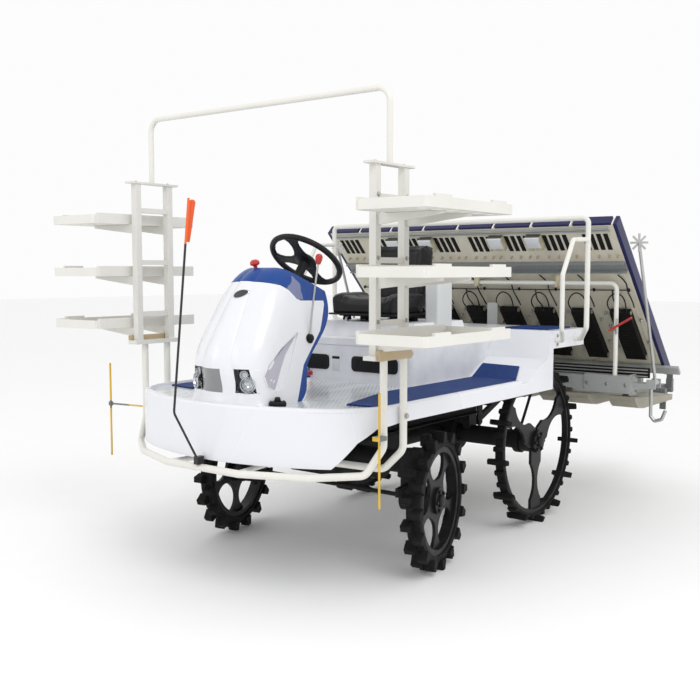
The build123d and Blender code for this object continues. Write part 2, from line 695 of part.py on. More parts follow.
SHELF_GRIP_X = (SHELF_X[0] + 60, SHELF_X[1] - 170)
SHELF_HOLE_X = (230, 330, 430, 530, 630, 730)


def overhead_bar():
    """The hoop that joins the two racks over the driver."""
    x = (UPRIGHT_X[0] + UPRIGHT_X[1]) / 2
    foot = RACK_TOP_Z + 8
    return rod([(x, RACK_Y, foot), (x, RACK_Y, BAR_TOP_Z), (x, -RACK_Y, BAR_TOP_Z), (x, -RACK_Y, foot)], BAR_D, 60)


def rear_guard_rail():
    """The hoop round the raised deck and a hand loop at each side, footed on the deck's side walls."""
    x = REAR_RAIL_X
    y = REAR_RAIL_Y
    wall = DECK_HALF_W + SEAT_GAP
    foot = REAR_RAIL_FOOT_X
    leg = [(foot, wall, 1012), (foot, wall + 40, 1012), (x, y, 1085), (x, y, REAR_RAIL_Z)]
    hoop = rod(leg + [(px, -side, z) for px, side, z in reversed(leg)], REAR_RAIL_D, 30)
    low, front = HAND_LOOP_X
    foot = REAR_WALL_X - 35
    loop = rod([
        (x, y, 1556), (low, y, 1550), (front, y, 1370), (front, y, 1090), (foot, wall + 40, 1014), (foot, wall, 1014),
    ], HAND_LOOP_D, 26)
    return hoop + both(loop)


def side_marker_rods():
    """The slim sighting rods: the left one folded in before its post, the right one swung out on its arm."""
    x = POST_X[1]
    left = post(5, x + 62, 752, (430, 900)) + block((x + TUBE_D / 2 + SEAT_GAP, x + 66), (POST_Y - 8, 757), (704, 722))
    reach = -SIDE_ROD_REACH
    right = post(5, x + 30, reach, (445, 920))
    right += rod([(x, -POST_Y - TUBE_D / 2 - SEAT_GAP, 712), (x, -POST_Y - 40, 712), (x + 30, reach, 712)], 9)
    right += block((x + 22, x + 38), (reach - 8, reach + 8), (702, 722))
    return [left, right]


SIDE_ROD_REACH = 965


def centre_pole():
    """The sighting pole at the nose, bent back at its foot."""
    tip = (912, -8, 1690)
    bend = (1010, -8, 800)
    foot = (RAIL_NOSE_X + 6, -8, GUARD_Z + 42)
    pole = rod([foot, bend, tip], 10, 40)
    bracket = block((RAIL_NOSE_X - 24, RAIL_NOSE_X + 14), (-20, 4), (GUARD_Z + TUBE_D / 2, GUARD_Z + 50))
    return pole + bracket


def control_levers():
    """The shift lever behind the cowl, the knob on the dash and the brake pedal."""
    shift = rod([(341, 130, 1070), (262, 130, 1102), (200, 130, 1250), (196, 130, 1420)], 9, 20)
    shift_knob = Pos(196, 130, 1432) * Sphere(16)
    dash_knob = Pos(520, 0, 1395) * Cylinder(8, 30) + Pos(520, 0, 1424) * Sphere(20)
    pedal = block((630, 712), (258, 318), (DECK_TOP_Z + 14, DECK_TOP_Z + 26))
    pedal += block((660, 680), (280, 296), (DECK_TOP_Z, DECK_TOP_Z + 16))
    return [shift + shift_knob - bonnet_rear_cover(), dash_knob - dash_panel(), pedal]


# Front steering


def turned(shape, side):
    """A piece at the front wheel, turned about its king pin to where the wheel rests."""
    y = side * KING_PIN_Y
    return Pos(0, y, 0) * Rot(0, 0, STEER_REST) * Pos(0, -y, 0) * shape


def knuckle():
    """The left gear case that hangs from the king pin and carries the front wheel."""
    y = KING_PIN_Y
    top = FRONT_AXLE_Z - 62 - 1
    case = post(50, 0, y, (FRONT_TIP_R - 40, top))
    case += disc(58, (y - 40, y + 62), (0, FRONT_TIP_R))
    case += post(KING_PIN_D / 2, 0, y, (top - 10, FRONT_AXLE_Z + 38))
    case += block((0, STEER_ARM), (y - 14, y + 14), (TIE_ROD_Z + 10, TIE_ROD_Z + 22))
    case += post(16, STEER_ARM, y, (TIE_ROD_Z + 10, TIE_ROD_Z + 22))
    case -= disc(AXLE_D / 2 + FIT, (y - 20, y + 70), (0, FRONT_TIP_R))
    return case


TIE_ROD_Z = 378


def tie_rod():
    """The rod between the two steering arms, at the place that the turned wheels give it."""
    angle = radians(STEER_REST)
    x = STEER_ARM * cos(angle)
    shift = STEER_ARM * sin(angle)
    ends = KING_PIN_Y
    piece = rod([(x, shift - ends, TIE_ROD_Z - 6), (x, shift + ends, TIE_ROD_Z - 6)], 20)
    for side in (-1, 1):
        piece += post(17, x, shift + side * ends, (TIE_ROD_Z - 18, TIE_ROD_Z + 10 - SEAT_GAP))
    return piece


# Wheels


def wheel_rim(rim_r, bore_r, width, middle_y, spokes, hub_y):
    """A rim, its hub and waisted spokes, with the axle stub on the inner side."""
    rim = ring(rim_r, bore_r, (middle_y - width / 2, middle_y + width / 2))
    rim += disc(HUB_R, hub_y)
    reach = bore_r + 4
    waist = (HUB_R + reach) / 2
    radius = (reach - HUB_R) * 0.46
    for k in range(spokes):
        arm = block((HUB_R - 20, reach), (middle_y - 8, middle_y + 8), (-SPOKE_HALF_W, SPOKE_HALF_W))
        for side in (-1, 1):
            arm -= disc(radius, (middle_y - 9, middle_y + 9), (waist, side * (radius + SPOKE_WAIST)))
        rim += Rot(0, 360 / spokes * k + 90, 0) * (arm & disc(reach, (middle_y - 9, middle_y + 9)))
    return rim


SPOKE_HALF_W = 58
SPOKE_WAIST = 17


def front_rim():
    y = FRONT_TREAD / 2
    rim = wheel_rim(FRONT_RIM_R, FRONT_RIM_BORE_R, FRONT_RIM_W, y, 5, (KING_PIN_Y + 62 + 3, y + 24))
    rim += disc(AXLE_D / 2, (KING_PIN_Y - 18, KING_PIN_Y + 70))
    return Pos(0, 0, FRONT_TIP_R) * rim


def front_tyre():
    y = FRONT_TREAD / 2
    tyre = ring(FRONT_TYRE_R, FRONT_RIM_R, (y - FRONT_TYRE_W * 0.36, y + FRONT_TYRE_W * 0.36))
    crest = sqrt(FRONT_TIP_R ** 2 - 14 ** 2)
    base = FRONT_TYRE_R - 8
    lug = side_profile([(-27, base), (27, base), (14, crest), (-14, crest)], (0, FRONT_TYRE_W / 2))
    lugs = []
    for k in range(FRONT_LUGS):
        for one, lead in ((lug, 0.0), (mirrored(lug), 0.5)):
            lugs.append(Rot(0, 360 / FRONT_LUGS * (k + lead), 0) * Pos(0, y, 0) * one)
    tyre = tyre + lugs
    return Pos(0, 0, FRONT_TIP_R) * tyre


def rear_rim():
    y = REAR_TREAD / 2
    rim = wheel_rim(REAR_RIM_R, REAR_RIM_BORE_R, 34, y, 3, (REAR_CASE_Y + 3, y + 26))
    rim += disc(AXLE_D / 2, (REAR_CASE_Y - 110, REAR_CASE_Y + 20))
    return Pos(-WHEELBASE, 0, REAR_TIP_R) * rim


def rear_tyre():
    y = REAR_TREAD / 2
    tyre = ring(REAR_TYRE_R, REAR_RIM_R, (y - REAR_TYRE_W / 2, y + REAR_TYRE_W / 2))
    crest = sqrt(REAR_TIP_R ** 2 - 12 ** 2)
    half = REAR_PADDLE_W / 2
    paddle = side_profile_x([
        (y - half, crest - 26), (y - REAR_TYRE_W / 2 + 2, REAR_TYRE_R - 6), (y + REAR_TYRE_W / 2 - 2, REAR_TYRE_R - 6),
        (y + half, crest - 26), (y + half - 10, crest), (y - half + 10, crest),
    ], (-12, 12))
    blades = [Rot(0, 180 + 360 / REAR_PADDLES * k, 0) * paddle for k in range(REAR_PADDLES)]
    tyre = tyre + blades
    return Pos(-WHEELBASE, 0, REAR_TIP_R) * tyre


# Lift linkage


def link_rear(pivot_z):
    """The rear pin of a link, at rest."""
    angle = radians(LINK_REST)
    return (LINK_PIVOT_X - LINK_LENGTH * cos(angle), pivot_z + LINK_LENGTH * sin(angle))


def link_arm(pivot_z, y, width):
    """A link from its front eye to its rear eye."""
    rear = link_rear(pivot_z)
    arm = bar((LINK_PIVOT_X, y, pivot_z), (rear[0], y, rear[1]), width, 34)
    for at in ((LINK_PIVOT_X, pivot_z), rear):
        arm += disc(22, (y - width / 2, y + width / 2), at)
    return arm


def lower_links():
    """Two parallel links with a cross tube, and the front pins that turn with them."""
    links = None
    rear = link_rear(LOWER_PIVOT_Z)
    for side in (-1, 1):
        arm = link_arm(LOWER_PIVOT_Z, side * LOWER_LINK_Y, 24)
        arm += disc(LINK_PIN_D / 2, (side * LOWER_LINK_Y - 27, side * LOWER_LINK_Y + 27),
                    (LINK_PIVOT_X, LOWER_PIVOT_Z))
        arm += disc(LINK_PIN_D / 2, (side * LOWER_LINK_Y - 27, side * LOWER_LINK_Y + 27), rear)
        links = arm if links is None else links + arm
    middle = ((LINK_PIVOT_X + rear[0]) / 2, (LOWER_PIVOT_Z + rear[1]) / 2)
    return links + disc(16, (-LOWER_LINK_Y, LOWER_LINK_Y), middle)


def upper_link():
    """Two upper arms on one shaft, with the crank that the lift cylinder pulls."""
    links = None
    rear = link_rear(UPPER_PIVOT_Z)
    for side in (-1, 1):
        arm = link_arm(UPPER_PIVOT_Z, side * LOWER_LINK_Y, 24)
        links = arm if links is None else links + arm
    links += disc(LINK_PIN_D / 2, (-LOWER_LINK_Y - 27, LOWER_LINK_Y + 27), (LINK_PIVOT_X, UPPER_PIVOT_Z))
    links += disc(20, (-LOWER_LINK_Y + 28, LOWER_LINK_Y - 28), (LINK_PIVOT_X, UPPER_PIVOT_Z))
    for y in (-24, 24):
        crank = bar((LINK_PIVOT_X, y, UPPER_PIVOT_Z), (LINK_PIVOT_X, y, CYLINDER_Z), 10, 36)
        crank += disc(20, (y - 5, y + 5), (LINK_PIVOT_X, CYLINDER_Z))
        links += crank
    return links + disc(8, (-29, 29), (LINK_PIVOT_X, CYLINDER_Z))


def cylinder_barrel():
    front = CYLINDER_PIVOT_X
    end = LINK_PIVOT_X + 140
    tube = Pos((front - 24 + end) / 2, 0, CYLINDER_Z) * Rot(0, 90, 0) * Cylinder(CYLINDER_D / 2, front - 24 - end)
    eye = disc(20, (-16, 16), (front, CYLINDER_Z))
    eye += block((front - 30, front), (-14, 14), (CYLINDER_Z - 14, CYLINDER_Z + 14))
    pin = disc(LINK_PIN_D / 2, (-46, 46), (front, CYLINDER_Z))
    bore = Pos((front - 60 + end) / 2, 0, CYLINDER_Z) * Rot(0, 90, 0) * Cylinder(
        CYLINDER_ROD_D / 2 + FIT, front - 60 - end + 2)
    return tube + eye + pin - bore


def cylinder_rod():
    """The rod with an eye wide enough for the path that the crank's pin takes in it."""
    start = CYLINDER_PIVOT_X - 70
    shaft = Pos((start + LINK_PIVOT_X) / 2, 0, CYLINDER_Z) * Rot(0, 90, 0) * Cylinder(
        CYLINDER_ROD_D / 2, start - LINK_PIVOT_X)
    at = (LINK_PIVOT_X + ROD_EYE_OFFSET[0], CYLINDER_Z + ROD_EYE_OFFSET[1])
    return shaft + disc(ROD_EYE_BORE_R + 9, (-17, 17), at) - disc(ROD_EYE_BORE_R, (-20, 20), at)


# Planting unit


def case_y():
    return [(k - (CASES - 1) / 2) * 2 * ROW_PITCH for k in range(CASES)]


def planting_frame():
    """The cross beam, the mast with the link plates and the rearward gear cases."""
    half = BEAM_W / 2
    frame = block((BEAM_X - half, BEAM_X + half), (-BEAM_HALF_LENGTH, BEAM_HALF_LENGTH), (BEAM_Z - half, BEAM_Z + half))
    low = link_rear(LOWER_PIVOT_Z)
    high = link_rear(UPPER_PIVOT_Z)
    for y in LINK_PLATE_Y:
        plate = block((BEAM_X + half - 10, low[0] + 24), (y - 5, y + 5), (low[1] - 26, high[1] + 30))
        for at in (low, high):
            plate -= disc(LINK_PIN_D / 2 + FIT, (y - 6, y + 6), at)
        frame += plate
    frame += block((BEAM_X + half - 10, BEAM_X + half), (-LOWER_LINK_Y - 25, LOWER_LINK_Y + 25), (BEAM_Z, high[1] + 30))
    frame += block((BEAM_X + half - 12, BEAM_X + half), (-35, 35), (BEAM_Z, 1190))
    for side in (-1, 1):
        frame += block((BEAM_X - BEAM_SLEEVE_HALF, BEAM_X + BEAM_SLEEVE_HALF),
                       sorted((side * BEAM_SLEEVE_Y[0], side * BEAM_SLEEVE_Y[1])),
                       (BEAM_Z - BEAM_SLEEVE_HALF, BEAM_Z + BEAM_SLEEVE_HALF))
    for y in case_y():
        drop = bar((BEAM_X - half + 5, y, BEAM_Z - 10), (ROTOR_X, y, ROTOR_Z), CASE_W, 70)
        frame += drop + disc(48, (y - CASE_W / 2, y + CASE_W / 2), (ROTOR_X, ROTOR_Z))
        frame -= disc(12 + FIT, (y - CASE_W, y + CASE_W), (ROTOR_X, ROTOR_Z))
    for side in (-1, 1):
        frame += block((BEAM_X - 50, BEAM_X + 50), sorted((side * BEAM_HALF_LENGTH, side * (BEAM_HALF_LENGTH + 12))),
                       (BEAM_Z - 60, BEAM_Z + 60))
        frame += block((BEAM_X - 46, BEAM_X + 46),
                       sorted((side * (BEAM_HALF_LENGTH + 10), side * (MARKER_PIVOT[1] - 26))),
                       (BEAM_Z - 14, BEAM_Z + 14))
        for x in (BEAM_X - 46, BEAM_X + 36):
            frame += block((x, x + 10), sorted((side * (MARKER_PIVOT[1] - 34), side * (MARKER_PIVOT[1] + 18))),
                           (BEAM_Z - 14, MARKER_PIVOT[2] + 18))
        frame += Pos(BEAM_X, side * MARKER_PIVOT[1], MARKER_PIVOT[2]) * Rot(0, 90, 0) * Cylinder(MARKER_PIN_D / 2, 90)
    frame += tray_box((TRAY_LENGTH - 92, TRAY_LENGTH - 32), (-TRAY_REACH - TRAY_OFFSET, TRAY_REACH - TRAY_OFFSET),
                      (-26, -6 - SEAT_GAP))
    for y in case_y():
        foot = block((TRAY_FOOT_X + 32, TRAY_FOOT_X + 62), (y - 15, y + 15), (TRAY_FOOT_Z - 91, TRAY_FOOT_Z + 27))
        frame += foot - tray_box((0, TRAY_LENGTH), (-2000, 2000), (-20, 200))
    return frame


def tray_plane():
    slope = radians(TRAY_SLOPE)
    return Plane((TRAY_TOP_X, 0, TRAY_TOP_Z), x_dir=Vector(-cos(slope), 0, -sin(slope)),
                 z_dir=Vector(-sin(slope), 0, cos(slope)))


def tray_box(along, y, out):
    """A box on the tray: how far down the slope, where across the machine and how far out of the floor."""
    local = block(along, (-y[1] - TRAY_OFFSET, -y[0] - TRAY_OFFSET), out)
    return tray_plane() * local


def seedling_tray():
    half = ROWS * ROW_PITCH / 2
    tray = tray_box((0, TRAY_LENGTH), (-half, half), (0, TRAY_PANEL_T))
    for k in range(ROWS + 1):
        y = -half + k * ROW_PITCH
        lo = max(-half, y - 7)
        hi = min(half, y + 7)
        tray += tray_box((0, TRAY_LENGTH), (lo, hi), (TRAY_PANEL_T - 1, TRAY_WALL_H))
    for k in range(ROWS):
        for step in SLOT_STEPS:
            y = -half + k * ROW_PITCH + step
            tray -= tray_box((SLOT_ALONG[0], SLOT_ALONG[1]), (y - 9, y + 9), (-1, 4))
    for k in TRAY_CLIP_WALLS:
        y = -half + k * ROW_PITCH
        tray += tray_box((52, 146), (y - 48, y + 48), (-42, 1))
    tray += tray_box(CHANNEL_ALONG, (-half, half), (-30, 1)) - tray_box(
        (CHANNEL_ALONG[0] + 6, CHANNEL_ALONG[1] - 6), (-half - 1, half + 1), (-31, -6))
    for y in TRAY_LUG_Y:
        tray += tray_box((TRAY_LENGTH - 110, TRAY_LENGTH - 14), (y - 18, y + 18), (-6, 2))
        slider = block((TRAY_RAIL_X - 24, TRAY_RAIL_X + 24), (y - 16 + TRAY_OFFSET, y + 16 + TRAY_OFFSET),
                       (SUPPORT_TOP_Z - 24, SUPPORT_TOP_Z + 110))
        slider -= tray_box((0, TRAY_LENGTH), (-half, half), (5, 300))
        tray += slider - disc(SUPPORT_D / 2 + FIT, (-half * 1.2, half), (TRAY_RAIL_X, SUPPORT_TOP_Z))
    return tray


SLOT_ALONG = (62, 184)
SLOT_STEPS = (62, 104, 146, 188)
TRAY_CLIP_WALLS = (2, 3, 5, 6)
CHANNEL_ALONG = (272, 346)


def tray_trim():
    """The end covers and the strips along the top edge of the lanes."""
    half = ROWS * ROW_PITCH / 2
    pieces = []
    for side in (-1, 1):
        pieces.append(tray_box((-6, TRAY_LENGTH + 4), sorted((side * half, side * (half + END_COVER_T))), (0, 70)))
    for k in range(ROWS):
        y = -half + k * ROW_PITCH
        pieces.append(tray_box((-16, 0), (y + 12, y + ROW_PITCH - 12), (0, TRAY_WALL_H)))
    return pieces


def feed_belts():
    """The belt drives under the lower half of the lanes."""
    half = ROWS * ROW_PITCH / 2
    pieces = []
    for k in range(ROWS):
        y = -half + (k + 0.5) * ROW_PITCH
        pieces.append(tray_box(BELT_ALONG, (y - 55, y + 55), (-46, 0)))
    return pieces


BELT_ALONG = (TRAY_LENGTH * 0.52, TRAY_LENGTH * 0.87)


def tray_supports():
    """The posts and the cross tube that the tray's sliders run on."""
    x = TRAY_RAIL_X
    top = SUPPORT_TOP_Z
    foot = BEAM_Z + BEAM_SLEEVE_HALF
    return rod([(x, SUPPORT_Y, foot), (x, SUPPORT_Y, top), (x, -SUPPORT_Y, top), (x, -SUPPORT_Y, foot)],
               SUPPORT_D, 40)


def side_guard_rods():
    """A hooked rod that hangs from each end of the beam."""
    x = BEAM_X + 40
    y = BEAM_HALF_LENGTH + 128
    piece = rod([(x, y, BEAM_Z - 14 - SEAT_GAP), (x, y, 562), (x, y + 24, 534), (x, GUARD_ROD_Y - 30, 548),
                 (x, GUARD_ROD_Y - 10, 600)], 20, 10)
    return both(piece)


def floats():
    """The centre float and two floats at each side, under the planting cases."""
    pieces = []
    bottom = FLOAT_BOTTOM_Z
    for y, width, nose in FLOATS:
        profile = [
            (nose, bottom + FLOAT_H), (nose - 12, bottom + 46), (nose - 60, bottom + 10), (nose - 140, bottom),
            (ROTOR_X + 170, bottom), (ROTOR_X + 170, bottom + 34), (nose - 300, bottom + FLOAT_H - 16),
            (nose - 16, bottom + FLOAT_H + 10),
        ]
        under = BEAM_SLEEVE_HALF if abs(y) > BEAM_SLEEVE_Y[0] else BEAM_W / 2
        hanger = block((BEAM_X - 35, BEAM_X - 5), (y - 20, y + 20), (bottom + 40, BEAM_Z - under - SEAT_GAP))
        pieces.append(side_profile(profile, (y - width / 2, y + width / 2)) + hanger)
    return pieces


# middle y, width and nose x
FLOATS = (
    (0, 380, FLOAT_NOSE_X - 80), (-500, 320, FLOAT_NOSE_X), (500, 320, FLOAT_NOSE_X),
    (-866, 160, FLOAT_NOSE_X), (866, 160, FLOAT_NOSE_X),
)


def planting_rotor():
    """A cross shaft with a two-lobed rotary case on each side, each with two claw arms."""
    rotor = disc(12, (-CASE_W / 2 - 12, CASE_W / 2 + 12), (0, 0))
    for side in (-1, 1):
        inner = side * (CASE_W / 2 + 7)
        outer = inner + side * 44
        span = sorted((inner, outer))
        body = block((-ROTOR_CASE_L / 2 + 34, ROTOR_CASE_L / 2 - 34), span, (-34, 34))
        for x in (-ROTOR_CASE_L / 2 + 34, ROTOR_CASE_L / 2 - 34):
            body += disc(34, span, (x, 0))
        rotor += body
        arm_span = sorted((outer - side * 1, outer + side * 38))
        for turn in (0, 180):
            arm = disc(20, arm_span, (ROTOR_CASE_L / 2 - 34, 0))
            arm += block((ROTOR_CASE_L / 2 - 50, ROTOR_CASE_L / 2 - 18), arm_span, (-70, 10))
            arm += block((ROTOR_CASE_L / 2 - 40, ROTOR_CASE_L / 2 - 30), arm_span, (-118, -60))
            rotor += Rot(0, turn, 0) * arm
    return rotor


def marker_arm():
    """The left row marker, folded up in front of the tray's end, with its toothed disc at the tip."""
    x, y, z = MARKER_PIVOT
    tip = (x + MARKER_LEAN, y, z + MARKER_LENGTH)
    blades = [Rot(45 * k, 0, 0) * Box(3, 12, 2 * MARKER_STAR_R) for k in range(4)]
    star = blades[0] + blades[1:]
    eye = Pos(x, y, z) * Rot(0, 90, 0) * Cylinder(16, 60)
    bore = Pos(x, y, z) * Rot(0, 90, 0) * Cylinder(MARKER_PIN_D / 2 + FIT, 62)
    return rod([(x, y, z + 12), tip], 18) + eye - bore + Pos(*tip) * star


def nodes():
    """Every piece by its node name."""
    rack = rack_frame()
    shelf_stack = group([shelf(z) for z in TIER_Z])
    marker = marker_arm()
    parts = {
        "chassis_frame": chassis_frame() + link_bracket(),
        "transmission_case": transmission_case(),
        "engine_block": engine_block(),
        "front_axle_case": front_axle_case(),
        "rear_axle_case": rear_axle_case(),
        "step_deck": step_deck(),
        "deck_mats": deck_mats(),
        "bonnet": bonnet(),
        "dash_panel": dash_panel(),
        "bonnet_rear_cover": bonnet_rear_cover(),
        "headlamp_band": headlamp_band(),
        "steering_column": steering_column(),
        "steering_wheel": steering_wheel(),
        "seat_box": seat_box(),
        "seat_pan": seat_pan(),
        "seat_cushion": seat_cushion(),
        "seat_back": seat_back(),
        "control_levers": group(control_levers()),
        "front_guard_rail": front_guard_rail(),
        "rack_frame_left": rack,
        "rack_frame_right": mirrored(rack),
        "shelves_left": shelf_stack,
        "shelves_right": mirrored(shelf_stack),
        "overhead_bar": overhead_bar(),
        "rear_guard_rail": rear_guard_rail(),
        "side_marker_rods": group(side_marker_rods()),
        "centre_pole": centre_pole(),
        "tie_rod": tie_rod(),
        "lower_links": lower_links(),
        "upper_link": upper_link(),
        "cylinder_barrel": cylinder_barrel(),
        "cylinder_rod": cylinder_rod(),
        "planting_frame": planting_frame(),
        "tray_supports": tray_supports(),
        "side_guard_rods": side_guard_rods(),
        "floats": group(floats()),
        "seedling_tray": seedling_tray(),
        "tray_trim": group(tray_trim()),
        "feed_belts": group(feed_belts()),
        "marker_arm_left": marker,
        "marker_arm_right": mirrored(marker),
    }
    for node, shape in (("knuckle", knuckle()), ("front_rim", front_rim()), ("front_tyre", front_tyre())):
        parts[f"{node}_left"] = turned(shape, 1)
        parts[f"{node}_right"] = turned(mirrored(shape), -1)
    for node, shape in (("rear_rim", rear_rim()), ("rear_tyre", rear_tyre())):
        parts[f"{node}_left"] = shape
        parts[f"{node}_right"] = mirrored(shape)
    rotor = planting_rotor()
    for k, y in enumerate(case_y()):
        parts[f"planting_rotor_{k + 1}"] = Pos(ROTOR_X, y, ROTOR_Z) * rotor
    return parts


def middle_x(parts):
    """Half way between the nose and the tail of the whole machine."""
    low = min(shape.bounding_box().min.X for shape in parts.values())
    high = max(shape.bounding_box().max.X for shape in parts.values())
    return (low + high) / 2


PARTS = nodes()
ORIGIN_X = middle_x(PARTS)
for name, shape in PARTS.items():
    export_step(Pos(-ORIGIN_X, 0, 0) * shape, f"parts/{name}.step")
print("origin", round(ORIGIN_X, 3), "mm from the front axle")
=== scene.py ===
from math import cos, pi, radians, sin

import bmesh
import bpy
from mathutils import Matrix, Vector


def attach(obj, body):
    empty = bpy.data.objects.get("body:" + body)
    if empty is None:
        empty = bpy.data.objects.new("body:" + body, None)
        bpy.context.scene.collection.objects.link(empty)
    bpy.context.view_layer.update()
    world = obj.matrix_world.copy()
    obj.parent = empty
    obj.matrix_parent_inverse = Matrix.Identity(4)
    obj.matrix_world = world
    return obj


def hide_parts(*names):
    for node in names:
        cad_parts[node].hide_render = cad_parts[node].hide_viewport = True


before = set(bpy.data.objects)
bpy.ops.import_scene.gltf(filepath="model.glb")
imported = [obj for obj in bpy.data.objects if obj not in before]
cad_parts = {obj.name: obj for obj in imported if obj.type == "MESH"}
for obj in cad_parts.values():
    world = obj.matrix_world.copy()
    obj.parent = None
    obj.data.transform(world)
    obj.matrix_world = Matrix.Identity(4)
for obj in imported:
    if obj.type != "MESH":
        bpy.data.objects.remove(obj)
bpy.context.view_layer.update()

# Camera, fitted to the photograph. Lengths are in metres.
PHOTO_SIZE = 700
FOCAL_PX = 953.917
SENSOR = 36.0
AXLE_TO_ORIGIN = 0.765641
CAMERA_AT = (3.6806 + AXLE_TO_ORIGIN, 2.9594, 1.3837)
CAMERA_YAW = 0.65394
CAMERA_PITCH = 0.08168

# Places taken from the part's source, in millimetres from the front axle
WHEEL_HUB = (167, 0, 1441)
WHEEL_R = 188
COLUMN_LEAN = 38
WHEEL_REST_TURN = 96
TRAY_TOP = (-1404, 1641)
TRAY_SLOPE = radians(45.5)
TRAY_OFFSET = -109
ROWS = 8
ROW_PITCH = 249
TRAY_HALF = ROWS * ROW_PITCH / 2
REAR_AXLE = (-1100, 590, 448)
KING_PIN_Y = 500
REST_STEER = 12
SIDES = (-1, 1)


def at(x, y, z):
    """A place given as the part's source gives it, in the scene's metres."""
    return Vector((x / 1000 + AXLE_TO_ORIGIN, y / 1000, z / 1000))


def spot(x, y, z):
    """The matrix that moves a form to a place of the part's source."""
    return Matrix.Translation(at(x, y, z))


def shift(x, y, z):
    """The matrix of a move in millimetres."""
    return Matrix.Translation(Vector((x, y, z)) / 1000)


def on_tray(along, y, out):
    """A place on the tray: how far down the slope, where across it and how far out of its floor."""
    x = TRAY_TOP[0] - along * cos(TRAY_SLOPE) - out * sin(TRAY_SLOPE)
    z = TRAY_TOP[1] - along * sin(TRAY_SLOPE) + out * cos(TRAY_SLOPE)
    return at(x, y + TRAY_OFFSET, z)


def tray_spot(along, y, out):
    """The matrix that lays a form on the tray: X down the slope, Y to the right, Z out of the floor."""
    down = Vector((-cos(TRAY_SLOPE), 0, -sin(TRAY_SLOPE)))
    up = Vector((-sin(TRAY_SLOPE), 0, cos(TRAY_SLOPE)))
    turn = Matrix((down, up.cross(down), up)).transposed().to_4x4()
    return Matrix.Translation(on_tray(along, y, out)) @ turn


def lane(k, step):
    """Y of a step across lane k of the tray; lane k's own middle is at half a pitch."""
    return k * ROW_PITCH - TRAY_HALF + step


def turned(degrees, axis):
    return Matrix.Rotation(radians(degrees), 4, axis)


def linked(name, data):
    """A new object of this data in the scene."""
    item = bpy.data.objects.new(name, data)
    bpy.context.scene.collection.objects.link(item)
    return item


# Camera, light and floor

FLOOR_REACH = 40.0
FLOOR_SHADE = 0.95
SKY_STRENGTH = 0.98
LIGHTS_AIM = (0, 0, 0.8)
# name, place, side length, power in watts
LIGHTS = (
    ("key", (3.5, 5.0, 6.5), 3.5, 150),
    ("fill", (6.5, -3.0, 3.5), 3.0, 30),
)


def aim_object(item, place, direction):
    item.location = place
    item.rotation_mode = "QUATERNION"
    item.rotation_quaternion = direction.to_track_quat("-Z", "Y")


def make_camera():
    """The photograph's viewpoint: yaw from +X towards +Y, looking slightly down."""
    data = bpy.data.cameras.new("camera")
    data.sensor_width = SENSOR
    data.lens = FOCAL_PX * SENSOR / PHOTO_SIZE
    camera = linked("camera", data)
    aim_object(camera, CAMERA_AT, Vector((-cos(CAMERA_YAW) * cos(CAMERA_PITCH),
                                          -sin(CAMERA_YAW) * cos(CAMERA_PITCH),
                                          -sin(CAMERA_PITCH))))
    bpy.context.scene.camera = camera


def make_stage():
    """A plain pale floor, a bright even sky and two large soft lamps."""
    floor = bpy.data.meshes.new("floor")
    r = FLOOR_REACH
    floor.from_pydata([(-r, -r, 0), (r, -r, 0), (r, r, 0), (-r, r, 0)], [], [(0, 1, 2, 3)])
    floor.materials.append(finish("floor", (FLOOR_SHADE,) * 3, (FLOOR_SHADE * 0.98,) * 3, rough=0.9))
    linked("floor", floor)
    world = bpy.data.worlds.new("studio")
    world.use_nodes = True
    background = world.node_tree.nodes["Background"]
    background.inputs["Color"].default_value = (1, 1, 1, 1)
    background.inputs["Strength"].default_value = SKY_STRENGTH
    bpy.context.scene.world = world
    for name, place, size, power in LIGHTS:
        light = bpy.data.lights.new(name, "AREA")
        light.shape = "SQUARE"
        light.size = size
        light.energy = power
        aim_object(linked(name, light), place, Vector(LIGHTS_AIM) - Vector(place))


# Materials


